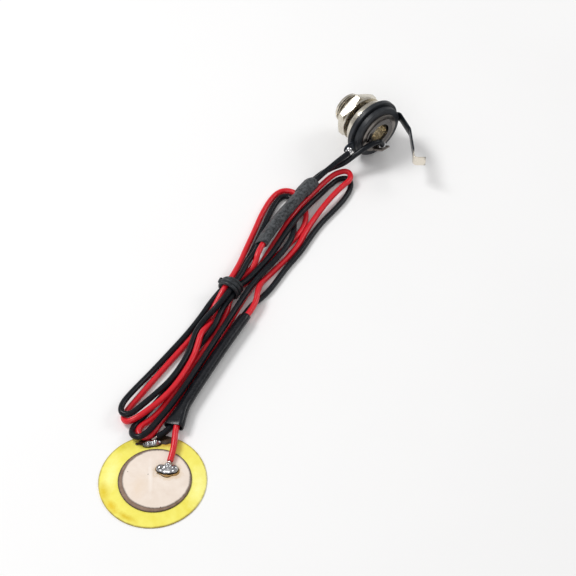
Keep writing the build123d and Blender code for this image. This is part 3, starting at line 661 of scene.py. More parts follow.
class Shop(Enum):
    """Every finish on the object."""

    # The darkened rim of the brass plate is painted shade along its edge
    BRASS = RimmedFinish(
        "brass_face", (0.85, 0.74, 0.085), (0.95, 0.90, 0.20), 0.50, 0.10, metallic=0.12, mottle_per_mm=0.16,
        mottle_contrast=2.4, grain_per_mm=6.0, relief=0.18, specular=0.3, rim_radius=13.5, rim_width=0.4,
        rim_colour=(0.20, 0.11, 0.02),
        stains=(
            ((4.0, -11.0, 0.3), 0.3, (5.5, 2.6, 2.0), (1.00, 0.96, 0.34), 0.9),
            ((-3.6, 10.2, 0.3), 0.3, (6.0, 2.0, 2.0), (1.00, 0.96, 0.34), 0.9),
            ((-8.4, 9.1, 0.3), 0.6, (3.0, 1.5, 2.0), (0.76, 0.58, 0.03), 0.8),
            ((-12.0, 0.6, 0.3), 1.5, (3.2, 0.9, 2.0), (0.74, 0.55, 0.03), 0.8),
            ((-11.0, 5.4, 0.3), 1.1, (2.0, 1.1, 2.0), (0.80, 0.58, 0.03), 0.8),
            ((5.2, 11.6, 0.3), -0.4, (2.0, 1.0, 2.0), (0.74, 0.64, 0.05), 0.8),
            ((11.3, 3.2, 0.3), -1.1, (4.0, 2.0, 2.0), (0.55, 0.30, 0.02), 0.5),
            ((11.0, 5.2, 0.3), -0.95, (5.4, 1.9, 2.0), (0.030, 0.016, 0.008), 0.3),
        ),
    )
    CERAMIC = RimmedFinish(
        "ceramic_edge", (0.17, 0.10, 0.065), (0.33, 0.225, 0.165), 0.52, 0.08, mottle_per_mm=0.6, mottle_contrast=2.4,
        grain_per_mm=12.0, relief=0.2, specular=0.35, rim_radius=9.2, rim_width=0.35, rim_centre=(0.25, -0.5, 0.0),
        rim_colour=(0.025, 0.012, 0.008), rim_strength=0.95,
    )
    SILVER = RimmedFinish(
        "silvered_layer", (0.80, 0.68, 0.58), (0.90, 0.80, 0.71), 0.46, 0.08, metallic=0.1, mottle_per_mm=0.22,
        mottle_contrast=2.0, grain_per_mm=10.0, relief=0.12, specular=0.35, rim_radius=8.55, rim_width=0.4,
        rim_centre=(0.7, -0.65, 0.0), rim_colour=(0.05, 0.03, 0.02), rim_strength=0.9,
        stains=(
            ((0.4, 0.9, 0.6), 0.52, (4.6, 0.55, 2.0), (0.93, 0.85, 0.78), 0.9),
            ((-3.4, 1.9, 0.6), 0.2, (3.4, 2.1, 2.0), (0.83, 0.69, 0.56), 0.9),
            ((3.8, -2.4, 0.6), -1.15, (3.5, 2.3, 2.0), (0.64, 0.44, 0.20), 0.6),
            ((-0.7, 6.7, 0.6), 0.3, (0.17, 0.14, 1.0), (0.20, 0.16, 0.12), 0.3),
            ((0.9, 1.8, 0.6), 0.3, (0.24, 0.17, 1.0), (0.25, 0.24, 0.20), 0.3),
            ((-6.0, -5.7, 0.6), 0.3, (0.22, 0.15, 1.0), (0.16, 0.10, 0.08), 0.3),
        ),
    )
    SOLDER = Finish(
        "bright_solder", (0.40, 0.40, 0.41), (0.86, 0.86, 0.88), 0.17, 0.06, metallic=1.0, mottle_per_mm=0.5,
        mottle_contrast=3.0, grain_per_mm=0.9, relief=0.10, relief_depth=0.08,
    )
    # The dark foot of both solder mounds is painted shade
    FACE_SOLDER = SolderFinish("face_solder", **MELTED, foot=0.6, shade_rise=0.62)
    PLATE_SOLDER = SolderFinish("plate_solder", **MELTED, foot=0.3, shade_rise=0.5)
    FLUX = Finish(
        "dark_flux", (0.014, 0.009, 0.006), (0.075, 0.038, 0.015), 0.26, 0.08, mottle_per_mm=0.7, mottle_contrast=2.6,
        grain_per_mm=3.0, relief=0.3, coat=0.2,
    )
    AMBER = Finish(
        "amber_flux", (0.30, 0.15, 0.04), (0.50, 0.30, 0.10), 0.25, 0.08, mottle_per_mm=0.8, grain_per_mm=3.0,
        relief=0.2, coat=0.3,
    )
    TINNED = Finish(
        "tinned_strands", (0.60, 0.54, 0.48), (0.78, 0.72, 0.66), 0.25, 0.08, metallic=1.0, grain_per_mm=6.0, relief=0.3
    )
    RED = Finish(
        "red_vinyl", (0.60, 0.006, 0.016), (0.72, 0.014, 0.026), 0.32, 0.07, mottle_contrast=1.5, specular=0.4,
        coat=0.06, **VINYL,
    )
    BLACK = Finish(
        "black_vinyl", (0.0040, 0.0055, 0.0080), (0.011, 0.013, 0.017), 0.27, 0.06, mottle_contrast=1.6, specular=0.20,
        coat=0.0, **VINYL,
    )
    SLEEVE = Finish(
        "shrink_skin", (0.004, 0.005, 0.007), (0.012, 0.013, 0.017), 0.27, 0.10, mottle_per_mm=0.4, mottle_contrast=2.0,
        grain_per_mm=0.8, relief=0.22, relief_depth=0.08, specular=0.26, coat=0.04,
    )
    COVER = Finish(
        "matt_skin", (0.010, 0.012, 0.014), (0.095, 0.102, 0.110), 0.56, 0.14, mottle_per_mm=1.25, mottle_contrast=4.6,
        grain_per_mm=1.8, relief=0.7, relief_depth=0.16, specular=0.3,
    )
    TIE = Finish(
        "tie_strand", (0.006, 0.008, 0.010), (0.040, 0.046, 0.052), 0.36, 0.1, mottle_per_mm=0.9, mottle_contrast=2.6,
        grain_per_mm=3.0, relief=0.3, specular=0.3,
    )
    NICKEL = Finish("nickel_skin", roughness=0.27, **PLATED)
    BUSHING = ThreadedFinish("threaded_nickel", roughness=0.25, **PLATED)
    STEEL = Finish(
        "dull_steel", (0.16, 0.145, 0.135), (0.36, 0.33, 0.30), 0.34, 0.10, metallic=1.0, mottle_per_mm=0.35,
        mottle_contrast=2.4, grain_per_mm=7.0, relief=0.15, scratched=True,
    )
    WAFER = Finish(
        "phenolic_sheet", (0.009, 0.011, 0.014), (0.032, 0.036, 0.042), 0.44, 0.12, mottle_per_mm=0.6,
        mottle_contrast=2.2, grain_per_mm=7.0, relief=0.3, specular=0.35,
    )
    # The bright patch at the spring's bent tip is a painted highlight
    SPRING = HighlightedFinish(
        "blued_steel", (0.010, 0.014, 0.022), (0.055, 0.065, 0.080), 0.30, 0.1, metallic=0.8, mottle_per_mm=0.4,
        mottle_contrast=2.2, grain_per_mm=5.0, relief=0.2, glint_centre=(122.6, -17.3, 8.9), glint_radius=2.9,
        glint_colour=(0.80, 0.74, 0.64),
    )
    FLOOR = Finish(
        "pale_floor", (0.93, 0.93, 0.93), (0.95, 0.95, 0.95), 0.8, 0.05, mottle_per_mm=0.01, grain_per_mm=0.5,
        relief=0.02, specular=0.1,
    )

    def dress(self, piece: Piece) -> Piece:
        """Give a piece this finish."""
        piece.data.materials.clear()
        piece.data.materials.append(self.value.material())
        return piece

    def dress_node(self, node: str) -> Piece:
        """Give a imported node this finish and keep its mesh."""
        piece = node_object(node)
        for slot in piece.material_slots:
            slot.material = self.value.material()
        if not piece.material_slots:
            piece.data.materials.append(self.value.material())
        return piece


@dataclass
class Studio:
    """Pale floor, soft light and the camera at the photograph's angle, with places in metres and angles in degrees.

    Each lamp has its name, its place, its size and its power.
    """

    target: Point = (0.0703, -0.0022, 0.0)
    azimuth: float = -63.2
    elevation: float = 51.05
    distance: float = 0.43265
    lens: float = 98.96
    floor_size: float = 2.4
    floor_centre: Point = (0.07, 0.0, 0.0)
    world_strength: float = 0.42
    room_colour: Colour = (1.0, 0.99, 0.985)
    fade_start: float = 0.12
    fade_end: float = 0.26
    lamps: tuple[tuple[str, Point, float, float], ...] = (
        ("key_lamp", (0.05, 0.36, 0.52), 0.22, 2.1),
        ("fill_lamp", (-0.40, -0.10, 0.42), 0.30, 0.7),
        ("rim_lamp", (0.42, -0.28, 0.34), 0.20, 0.5),
    )

    def camera(self) -> None:
        """Add the camera."""
        turn, lift = math.radians(self.azimuth), math.radians(self.elevation)
        back = Vector((math.sin(turn) * math.cos(lift), -math.cos(turn) * math.cos(lift), math.sin(lift)))
        data = bpy.data.cameras.new("camera")
        data.lens = self.lens
        data.sensor_width = 36.0
        data.clip_start = 0.01
        camera = Bench.linked("camera", data)
        camera.location = Vector(self.target) + back * self.distance
        camera.rotation_euler = back.to_track_quat("Z", "Y").to_euler()
        bpy.context.scene.camera = camera

    def floor_material(self) -> bpy.types.Material:
        """Pale floor that turns plain white, to the eye and in reflections alone, away from the object."""
        material = Shop.FLOOR.value.material()
        nodes = Nodes(material.node_tree)
        built = {node.type: node for node in material.node_tree.nodes}
        place = nodes.add("ShaderNodeTexCoord").outputs["Object"]
        away = nodes.spread(nodes.distance(nodes.moved(place, self.target)), self.fade_start, self.fade_end, 0.0, 1.0)
        path = nodes.add("ShaderNodeLightPath").outputs
        seen = nodes.maths("MAXIMUM", path["Is Camera Ray"], path["Is Glossy Ray"])
        seen = nodes.maths("MAXIMUM", seen, path["Is Transmission Ray"])
        white = nodes.add("ShaderNodeEmission", {"Color": WHITE}).outputs[0]
        pale = built["BSDF_PRINCIPLED"].outputs["BSDF"]
        shown = nodes.mixed(nodes.maths("MULTIPLY", away, seen), pale, white)
        nodes.link(shown, built["OUTPUT_MATERIAL"].inputs["Surface"])
        return material

    def floor(self) -> None:
        """Add the floor, which shows white in the picture and keeps the shadow."""
        Bench.clear()
        bpy.ops.mesh.primitive_plane_add(size=self.floor_size, location=self.floor_centre)
        floor = Bench.named("floor")
        Bench.settle()
        floor.data.materials.append(self.floor_material())

    def world(self) -> None:
        """Light the room evenly, and show it white to the camera."""
        world = bpy.data.worlds.new("room")
        bpy.context.scene.world = world
        world.use_nodes = True
        world.node_tree.nodes.clear()
        nodes = Nodes(world.node_tree)
        light = {"Color": (*self.room_colour, 1.0), "Strength": self.world_strength}
        room = nodes.add("ShaderNodeBackground", light).outputs[0]
        white = nodes.add("ShaderNodeBackground", {"Color": WHITE}).outputs[0]
        seen = nodes.add("ShaderNodeLightPath").outputs["Is Camera Ray"]
        nodes.add("ShaderNodeOutputWorld", {"Surface": nodes.mixed(seen, room, white)})

    def lamp(self, name: str, place: Point, size: float, power: float) -> None:
        """Add one soft square lamp that points at the object."""
        data = bpy.data.lights.new(name, "AREA")
        data.size = size
        data.energy = power
        lamp = Bench.linked(name, data)
        lamp.location = place
        lamp.rotation_euler = (Vector(place) - Vector(self.target)).to_track_quat("Z", "Y").to_euler()

    def build(self) -> None:
        """Set up the whole studio."""
        bpy.context.scene.view_settings.view_transform = "Standard"
        self.floor()
        self.world()
        for name, place, size, power in self.lamps:
            self.lamp(name, place, size, power)


@dataclass(frozen=True)
class Station:
    """One section of a sleeve: its middle in metres, its sizes in millimetres and its turn in degrees."""

    middle: Vector
    spread: float
    clearance: float
    turn: float

    def outline(self, radius: float, sides: int, waist: float) -> list[tuple[float, float]]:
        """Lay out two half rounds that stand apart by the spread, drawn in a little between them.

        Args:
            radius: radius of each half round in millimetres.
            sides: number of corners.
            waist: share by which the section is drawn in at its middle.

        Returns:
            Across and up of each corner in millimetres.
        """
        tilt = math.radians(self.turn)
        points = []
        for step in range(sides):
            angle = 2 * math.pi * step / sides
            half = math.copysign(self.spread / 2, math.cos(angle))
            across = radius * math.cos(angle) + half
            rise = radius * math.sin(angle) * (1.0 - waist * math.exp(-((across / WAIST_WIDTH) ** 2)))
            first = across * math.cos(tilt) - rise * math.sin(tilt)
            second = across * math.sin(tilt) + rise * math.cos(tilt)
            points.append((first, second))
        return points


@dataclass(frozen=True)
class Sleeve:
    """A shrunk sleeve over two stacked wires, with its sizes in millimetres.

    The ripple is the depth of its unevenness, and the swell is how far its middle stands out. Both count in full on
    top, and by the flank's share at the sides.
    """

    node: str
    finish: Shop
    ripple: float
    swell: float
    wall: float = 0.3
    waist: float = 0.10
    flank: float = 0.30
    fullness: float = 0.6
    broad_pattern: float = 620.0
    fine_pattern: float = 1700.0
    edge: float = 0.08
    sides: int = 40

    def rumple(self, place: Vector) -> float:
        """Depth of the unevenness at a place."""
        return self.ripple * (
            0.5 + 0.5 * noise.noise(place * self.broad_pattern) + 0.25 * noise.noise(place * self.fine_pattern)
        )

    def draw(self, stations: list[Station], wire_radius: float) -> Piece:
        """Draw the sleeve with its outer and inner skin.

        Args:
            stations: sections along the sleeve.
            wire_radius: radius of the two wires inside, in millimetres.

        Returns:
            The sleeve.
        """
        shape = bmesh.new()
        outer: list[Ring] = []
        inner: list[Ring] = []
        last = len(stations) - 1
        for index, station in enumerate(stations):
            along = (stations[min(index + 1, last)].middle - stations[max(index - 1, 0)].middle).normalized()
            side = Vector((-along.y, along.x, 0.0)).normalized()
            up = along.cross(side)
            hump = self.swell * math.sin(math.pi * index / last) ** self.fullness
            for layer, wall, waist in ((outer, self.wall, self.waist), (inner, 0.0, 0.0)):
                ring = []
                for first, second in station.outline(wire_radius + station.clearance + wall, self.sides, waist):
                    offset = side * first + up * second
                    place = station.middle + offset * MM
                    if layer is outer and 0 < index < last:
                        away = offset.normalized()
                        upper = self.flank + (1.0 - self.flank) * max(away.z, 0.0)
                        place += away * (hump + self.rumple(place)) * upper * MM
                    ring.append(shape.verts.new(place))
                layer.append(ring)
        for ring, following in zip(outer, outer[1:]):
            Bench.stitch(shape, ring, following)
        for ring, following in zip(inner, inner[1:]):
            Bench.stitch(shape, following, ring)
        Bench.stitch(shape, inner[0], outer[0])
        Bench.stitch(shape, outer[-1], inner[-1])
        piece = Bench.meshed(self.node + "_skin", shape)
        Bench.rounded(piece, width=self.edge, angle=60.0)
        return fitted(piece, self.finish, self.node, "shrink_sleeve")


@dataclass
class Tie:
    """Three strands round the hank, thick on top and pressed flat below, with their ends twisted together.

    Sizes are in millimetres. Each turn has its place along the hank, its lean, and its radius on top. Each value of
    the twist that has two parts holds what it starts with and what it gains or loses on its way.
    """

    centre: Point = (61.0, 10.6, 3.0)
    hank_radius: float = 2.42
    lowest: float = -2.98
    pressed_radius: float = 0.26
    turns: tuple[Point, ...] = ((-1.02, 0.10, 0.55), (-0.05, -0.02, 0.66), (0.95, -0.12, 0.56))
    lean_reach: float = 2.4
    turn_steps: int = 72
    knot: Point = (-0.2, 2.6, 1.35)
    twists: float = 1.25
    twist_steps: int = 22
    twist_run: tuple[float, float] = (-0.5, 1.2)
    twist_swing: float = 0.3
    twist_width: tuple[float, float] = (0.42, -0.35)
    twist_drift: float = 0.35
    twist_rise: float = 0.1
    twist_radius: tuple[float, float] = (0.52, -0.1)
    sides: int = 14

    def rope(self, name: str, path: list[Vector], radii: list[float], closed: bool) -> Piece:
        """Draw a round strand whose thickness changes along its path.

        Args:
            name: name of the piece.
            path: points of its middle line in metres.
            radii: radius at each point in millimetres.
            closed: True joins its end to its start.

        Returns:
            The strand.
        """
        shape = bmesh.new()
        rings: list[Ring] = []
        count = len(path)
        angles = [2 * math.pi * step / self.sides for step in range(self.sides)]
        for index, (middle, radius) in enumerate(zip(path, radii)):
            ahead = path[(index + 1) % count] if closed else path[min(index + 1, count - 1)]
            behind = path[index - 1] if closed or index else path[0]
            along = (ahead - behind).normalized()
            side = along.cross(Vector(STRAND_GUIDE)).normalized()
            up = along.cross(side)
            corners = [middle + (side * math.cos(angle) + up * math.sin(angle)) * radius * MM for angle in angles]
            rings.append([shape.verts.new(corner) for corner in corners])
        for ring, following in zip(rings, rings[1:]):
            Bench.stitch(shape, ring, following)
        if closed:
            Bench.stitch(shape, rings[-1], rings[0])
        else:
            shape.faces.new(rings[0])
            shape.faces.new(rings[-1])
        return Bench.meshed(name, shape)

    def turn(self, shift: float, lean: float, thick: float) -> Piece:
        """Wind one strand round the hank."""
        path, radii = [], []
        for step in range(self.turn_steps):
            angle = 2 * math.pi * step / self.turn_steps
            radius = self.pressed_radius + (thick - self.pressed_radius) * (0.5 + 0.5 * math.sin(angle))
            reach = self.hank_radius + radius
            height = max(reach * math.sin(angle), self.lowest + radius)
            place = mm(shift + lean * self.lean_reach * math.cos(angle), reach * math.cos(angle), height)
            path.append(Vector(mm(*self.centre)) + Vector(place))
            radii.append(radius)
        return self.rope("tie_turn", path, radii, True)

    def twist(self, phase: float) -> Piece:
        """Draw one of the two twisted ends, from its angle at the start."""
        knot = Vector(mm(*self.centre)) + Vector(mm(*self.knot))
        path, radii = [], []
        for step in range(self.twist_steps):
            share = step / (self.twist_steps - 1)
            angle = phase + share * 2 * math.pi * self.twists
            wide = self.twist_width[0] * (1.0 + self.twist_width[1] * share)
            run = self.twist_run[0] + self.twist_run[1] * share + self.twist_swing * math.cos(angle)
            drift = wide * math.cos(angle) + self.twist_drift * share
            path.append(knot + Vector(mm(run, drift, self.twist_rise + wide * math.sin(angle))))
            radii.append(self.twist_radius[0] + self.twist_radius[1] * share * share)
        return self.rope("tie_twist", path, radii, False)

    def build(self) -> Piece:
        """Wind the whole tie."""
        strands = [self.turn(*turn) for turn in self.turns] + [self.twist(phase) for phase in (0.0, math.pi)]
        tie = Bench.joined("tie_turns", strands)
        Bench.smooth(tie, 60.0)
        return fitted(tie, Shop.TIE, "binding_tie", "tie_wire")


@dataclass
class Lead:
    """The folded lead: wires, tails, sleeves, splices and tie, with its sizes in millimetres and turns in degrees."""

    wire_diameter: float = 1.6
    stack_spread: float = 1.754
    stack_turn: float = -45.0
    stack_clearance: float = 0.06
    mouth_spread: float = 3.1
    mouth_turn: float = -14.0
    mouth_clearance: float = 0.15
    mouth_length: float = 8.5
    mouth_lift: float = 0.02
    pieces: dict[str, Piece] = field(default_factory=dict)

    def spline(self, name: str, route: list[Point], thickness: float) -> Piece:
        """Lay one smooth curve along a route.

        Args:
            name: name of the curve.
            route: control points in metres.
            thickness: diameter of the tube in millimetres, or 0 for a bare line.

        Returns:
            The curve object.
        """
        data = bpy.data.curves.new(name, "CURVE")
        data.dimensions = "3D"
        data.resolution_u = 7
        line = data.splines.new("NURBS")
        line.points.add(len(route) - 1)
        for point, place in zip(line.points, route):
            point.co = (*place, 1.0)
        line.order_u = 3
        line.use_endpoint_u = True
        data.bevel_depth = thickness * MM / 2
        data.bevel_resolution = 6
        data.use_fill_caps = thickness > 0
        return Bench.linked(name, data)

    def line(self, route: list[Point]) -> list[Vector]:
        """Read points along the smooth curve of a route."""
        helper = self.spline("line_helper", route, 0.0)
        bpy.context.view_layer.update()
        mesh = bpy.data.meshes.new_from_object(helper.evaluated_get(bpy.context.evaluated_depsgraph_get()))
        points = [vertex.co.copy() for vertex in mesh.vertices]
        bpy.data.meshes.remove(mesh)
        bpy.data.objects.remove(helper, do_unlink=True)
        return points

    def wires(self) -> None:
        """Add the four wires as smooth cords."""
        for name, route, finish, slot in (
            ("red_wire", RED_ROUTE, Shop.RED, "red_insulation"),
            ("black_wire", BLACK_ROUTE, Shop.BLACK, "black_insulation"),
            ("tip_lead", TIP_LEAD_ROUTE, Shop.BLACK, "black_insulation"),
            ("earth_lead", EARTH_LEAD_ROUTE, Shop.BLACK, "black_insulation"),
        ):
            cord = self.spline(name + "_cord", route, self.wire_diameter)
            self.pieces[name] = fitted(cord, finish, name, slot)

    def mouth_station(self, point: Vector, start: float) -> Station:
        """Section of the disc's sleeve, which opens into a wide flat mouth at its start."""
        share = max(0.0, 1.0 - (point.x - start) / (self.mouth_length * MM))
        ease = share * share * (3 - 2 * share)
        return Station(
            point + Vector((0.0, 0.0, self.mouth_lift * MM * ease)),
            self.stack_spread + (self.mouth_spread - self.stack_spread) * ease,
            self.stack_clearance + (self.mouth_clearance - self.stack_clearance) * ease,
            self.stack_turn + (self.mouth_turn - self.stack_turn) * ease,
        )

    def sleeves(self) -> None:
        """Add the sleeve by the disc and the two lapped sleeves by the jack."""
        guide = self.line(DISC_SLEEVE_ROUTE)
        start, end = DISC_SLEEVE_ENDS
        stations = [self.mouth_station(point, start) for point in guide if start <= point.x <= end]
        sleeve = Sleeve("disc_sleeve", Shop.SLEEVE, ripple=0.14, swell=0.0)
        self.pieces[sleeve.node] = sleeve.draw(stations, self.wire_diameter / 2)
        guide = self.line(JOINT_SLEEVE_ROUTE)
        for node, (start, end), clearance, swell in (
            ("joint_sleeve", JOINT_SLEEVE_ENDS, 0.14, 0.50),
            ("cover_sleeve", COVER_SLEEVE_ENDS, 0.50, 0.30),
        ):
            stations = [
                Station(point, self.stack_spread, clearance, self.stack_turn)
                for point in guide
                if start <= point.x <= end
            ]
            sleeve = Sleeve(node, Shop.COVER, ripple=0.42, swell=swell)
            self.pieces[node] = sleeve.draw(stations, self.wire_diameter / 2)

    def declare(self) -> None:
        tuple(RED_ROUTE[0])
        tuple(BLACK_ROUTE[0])
        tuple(TIP_LEAD_ROUTE[-1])
        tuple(EARTH_LEAD_ROUTE[-1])

    def build(self) -> None:
        """Lay the lead and its sleeves."""
        self.wires()
        self.sleeves()
        self.pieces["binding_tie"] = Tie().build()
        for node in ("red_splice", "black_splice"):
            Shop.SOLDER.dress_node(node)
        self.declare()


@dataclass(frozen=True)
class Mound:
    """Solder or flux melted from a few round lobes, with its sizes in millimetres.

    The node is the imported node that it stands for, or nothing. The base is the height of the face that it sits on. Each
    lobe has its x, its y, its radius along X, its height, and its stretch along Y.
    """

    name: str
    node: str
    finish: Shop
    base: float
    lobes: tuple[tuple[float, float, float, float, float], ...]
    voxel: float = 0.11
    softness: float = 0.6
    softenings: int = 45

    def melt(self) -> Piece:
        """Melt the lobes into one mound and cut it flat at its base."""
        balls = []
        for x, y, radius, height, stretch in self.lobes:
            squeeze = (radius, radius * stretch, height)
            balls.append(Bench.ball(self.name + "_lobe", mm(x, y, self.base), squeeze, 32, 20))
        piece = Bench.joined(self.name, balls)
        Bench.apply(piece, "REMESH", mode="VOXEL", voxel_size=self.voxel * MM)
        Bench.apply(piece, "SMOOTH", factor=self.softness, iterations=self.softenings)
        Bench.edit()
        bpy.ops.mesh.bisect(plane_co=(0, 0, self.base * MM), plane_no=(0, 0, 1), clear_inner=True, use_fill=True)
        Bench.leave()
        Bench.smooth(piece, 75.0)
        return fitted(piece, self.finish, self.node, "solder")


@dataclass
class Disc:
    """The piezo disc with its two solder joints and the burnt flux beside them."""

    electrode_top: float = 0.6
    plate_top: float = 0.3

    def faces(self) -> None:
        """Dress the plate, the ceramic, the silvered face and the bare wire ends."""
        for node, finish in (
            ("brass_plate", Shop.BRASS),
            ("ceramic_disc", Shop.CERAMIC),
            ("silver_electrode", Shop.SILVER),
            ("red_core", Shop.TINNED),
            ("black_core", Shop.TINNED),
        ):
            finish.dress_node(node)
        LOG.info("dressed the disc")

    def mounds(self) -> tuple[Mound, ...]:
        """List both solder joints and the flux."""
        return (
            Mound(
                "electrode_mound", "electrode_solder", Shop.FACE_SOLDER, self.electrode_top,
                (
                    (3.6, -0.25, 1.35, 1.30, 0.95), (3.85, -1.35, 1.5, 1.25, 0.95), (4.3, -2.4, 1.55, 1.3, 0.95),
                    (4.9, -3.35, 1.38, 1.35, 0.9), (4.9, -1.6, 1.2, 1.85, 0.8),
                ),
            ),
            Mound(
                "plate_mound", "plate_solder", Shop.PLATE_SOLDER, self.plate_top,
                (
                    (8.3, 6.8, 0.9, 0.8, 0.95), (8.75, 6.2, 1.1, 1.45, 0.95), (9.35, 5.4, 1.05, 1.1, 0.95),
                    (9.8, 4.8, 1.08, 1.5, 0.95), (10.3, 4.1, 0.9, 0.85, 0.95),
                ),
            ),
            Mound(
                "plate_flux", "", Shop.FLUX, self.plate_top,
                (
                    (12.2, 1.7, 0.95, 0.24, 1.0), (11.5, 2.7, 1.05, 0.30, 1.0), (10.9, 3.7, 0.9, 0.28, 1.0),
                    (11.2, 4.9, 0.8, 0.24, 1.1), (10.4, 6.4, 0.9, 0.26, 1.1), (8.3, 7.9, 0.8, 0.26, 1.1),
                    (7.6, 8.9, 0.6, 0.2, 1.0),
                ),
            ),
            Mound(
                "face_flux", "", Shop.AMBER, self.electrode_top,
                ((3.6, -0.4, 1.75, 0.20, 1.0), (3.8, -2.0, 2.1, 0.22, 1.0), (4.6, -3.6, 1.6, 0.20, 1.0)),
            ),
        )

    def build(self) -> None:
        """Dress the disc and add its solder and flux."""
        self.faces()
        for mound in self.mounds():
            mound.melt()


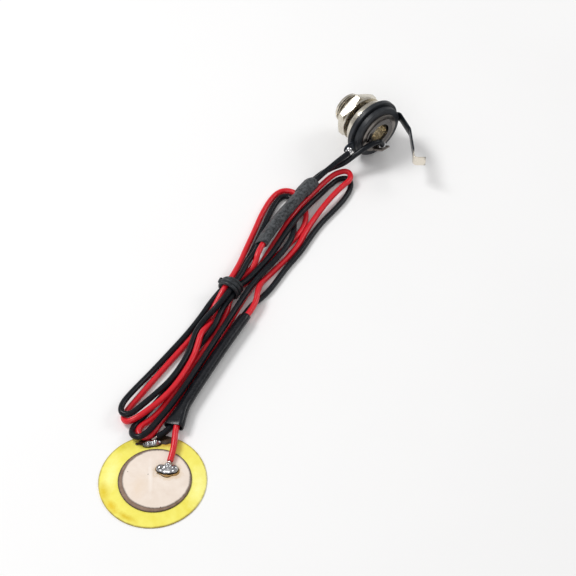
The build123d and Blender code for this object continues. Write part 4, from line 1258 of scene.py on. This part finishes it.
@dataclass
class Jack:
    """The open panel jack, built along its own axis and then laid in its place.

    Its centre is in metres, its sizes are in millimetres and its turn is in degrees.
    """

    centre: Point = (0.1286, 0.00035, 0.0089)
    yaw: float = 66.0
    sides: int = 128
    thread_radius: float = 4.75
    thread_depth: float = 0.46
    ridge_radius: float = 0.50
    ridge_squeeze: float = 0.78
    thread_start: float = 2.95
    thread_turns: int = 9
    bore_radius: float = 3.25
    pitch: float = 0.79
    nut_width: float = 12.7
    nut_height: float = 2.4
    nut_middle: float = 6.0
    bead_ripple: float = 0.12
    bead_pattern: float = 900.0

    def place(self) -> Matrix:
        """Matrix from the jack's own frame to the row frame."""
        turn = math.radians(self.yaw)
        across = Vector((-math.sin(turn), math.cos(turn), 0.0))
        along = Vector((math.cos(turn), math.sin(turn), 0.0))
        up = along.cross(across)
        matrix = Matrix((across, up, along)).transposed().to_4x4()
        return Matrix.Translation(self.centre) @ matrix

    def fit(self, piece: Piece, node: str, finish: Shop, slot: str) -> Piece:
        """Lay a piece in its place on the jack, dress it and let it stand for its node."""
        Bench.placed(piece, self.place())
        return fitted(piece, finish, node, slot)

    def ridge(self) -> Piece:
        """Wind the thread's ridge as a square section along a helix, closed at both ends."""
        Bench.clear()
        bpy.ops.mesh.primitive_circle_add(
            vertices=4, radius=self.ridge_radius * MM, fill_type="NOTHING", location=(0, 0, 0)
        )
        ridge = Bench.named("bushing_thread")
        Bench.edit()
        bpy.ops.transform.rotate(value=math.radians(90.0), orient_axis="X", center_override=(0, 0, 0))
        bpy.ops.transform.resize(value=(1.0, 1.0, self.ridge_squeeze), center_override=(0, 0, 0))
        inward = self.thread_radius - self.ridge_radius
        bpy.ops.transform.translate(value=(inward * MM, 0, self.thread_start * MM))
        Bench.leave()
        Bench.apply(
            ridge, "SCREW", axis="Z", angle=math.radians(360.0), screw_offset=self.pitch * MM,
            iterations=self.thread_turns, steps=64, render_steps=64, use_smooth_shade=True, use_merge_vertices=False,
        )
        Bench.edit()
        bpy.ops.mesh.remove_doubles(threshold=0.0005 * MM)
        bpy.ops.mesh.select_all(action="DESELECT")
        bpy.ops.mesh.select_non_manifold()
        bpy.ops.mesh.edge_face_add()
        bpy.ops.mesh.select_all(action="SELECT")
        bpy.ops.mesh.normals_make_consistent(inside=False)
        Bench.leave()
        return ridge

    def bushing(self) -> None:
        """Turn the bushing and add the helical thread to its barrel."""
        bore, root = self.bore_radius, self.thread_radius - self.thread_depth
        profile = [
            (bore, -4.05), (bore + 0.15, -4.1), (4.7, -4.1), (4.9, -3.95), (4.9, -3.75), (4.8, -3.7), (4.1, -3.7),
            (4.1, 0.0), (7.2, 0.0), (7.3, 0.1), (7.3, 2.0), (7.18, 2.28), (6.9, 2.4), (4.9, 2.4), (root, 2.5),
            (root, 10.3), (root - 0.1, 10.55), (4.25, 10.75), (4.05, 10.9), (3.6, 10.9), (bore, 10.6),
        ]
        body = Bench.turned("bushing_body", profile, True, self.sides)
        piece = Bench.joined("bushing", [body, self.ridge()])
        Bench.smooth(piece, 32.0)
        self.fit(piece, "jack_bushing", Shop.BUSHING, "nickel_plate")

    def nut(self) -> None:
        """Make the hexagon nut with turned corners."""
        Bench.clear()
        bpy.ops.mesh.primitive_cylinder_add(
            vertices=6, radius=self.nut_width / math.sqrt(3) * MM, depth=self.nut_height * MM,
            location=mm(0, 0, self.nut_middle),
        )
        piece = Bench.named("nut")
        Bench.settle()
        lens = Bench.turned("nut_lens", [(6.45, 7.2), (7.5, 6.75), (7.5, 5.25), (6.45, 4.8)], False)
        Bench.cut(piece, lens, "INTERSECT")
        bore = [(5.2, 7.4), (5.2, 7.2), (4.82, 6.8), (4.82, 5.2), (5.2, 4.8), (5.2, 4.6)]
        Bench.cut(piece, Bench.turned("nut_hole", bore, False))
        Bench.rounded(piece, width=0.12, angle=30.0)
        self.fit(piece, "hex_nut", Shop.NICKEL, "nickel_plate")

    def rings(self) -> None:
        """Turn the washer with its punched, slightly rolled edge, and the two insulating wafers."""
        for name, node, finish, slot, profile in (
            (
                "washer", "flat_washer", Shop.NICKEL, "nickel_plate",
                [(4.95, 4.05), (5.05, 4.0), (6.85, 4.0), (7.0, 4.12), (7.0, 4.62), (6.8, 4.8), (5.1, 4.8), (4.95, 4.7)],
            ),
            (
                "front_insulator", "front_wafer", Shop.WAFER, "black_wafer",
                [(4.15, -1.38), (8.78, -1.4), (8.9, -1.28), (8.9, -0.12), (8.78, 0.0), (4.15, -0.02)],
            ),
            (
                "rear_insulator", "rear_wafer", Shop.WAFER, "black_wafer",
                [
                    (4.15, -3.18), (7.88, -3.2), (8.0, -3.08), (8.0, -1.92), (7.88, -1.8), (4.9, -1.8), (4.88, -1.42),
                    (4.15, -1.41),
                ],
            ),
        ):
            piece = Bench.turned(name, profile, True, self.sides)
            Bench.smooth(piece)
            self.fit(piece, node, finish, slot)

    def stampings(self) -> None:
        """Round the edges of the two stamped terminals and give them their finish."""
        for node, name, slot, finish in (
            ("tip_spring", "tip_stamping", "blued_spring", Shop.SPRING),
            ("earth_ring", "earth_stamping", "nickel_plate", Shop.STEEL),
        ):
            piece = Bench.copy_of(node, name)
            Bench.rounded(piece, width=0.09, angle=40.0)
            fitted(piece, finish, node, slot)

    def solder(self) -> None:
        """Melt the solder on the two lugs."""
        for node, name, centre, squeeze in (
            ("tip_solder", "tip_bead", (118.27, 2.49, 7.52), (1.1, 1.05, 1.0)),
            ("earth_solder", "earth_bead", (126.23, -4.53, 5.50), (1.1, 1.1, 1.15)),
        ):
            piece = Bench.ball(name, mm(*centre), squeeze, 40, 28)
            for vertex in piece.data.vertices:
                away = (vertex.co - Vector(mm(*centre))).normalized()
                vertex.co += away * self.bead_ripple * MM * noise.noise(vertex.co * self.bead_pattern)
            Bench.smooth(piece, 60.0)
            fitted(piece, Shop.SOLDER, node, "solder")

    def build(self) -> None:
        """Make every piece of the jack."""
        self.bushing()
        self.nut()
        self.rings()
        self.stampings()
        self.solder()


def main() -> None:
    """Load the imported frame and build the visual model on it."""
    logging.basicConfig(level=logging.INFO, format="%(name)s: %(message)s")
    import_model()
    studio = Studio()
    studio.camera()
    Lead().build()
    Disc().build()
    Jack().build()
    studio.build()


if __name__ == "__main__":
    main()
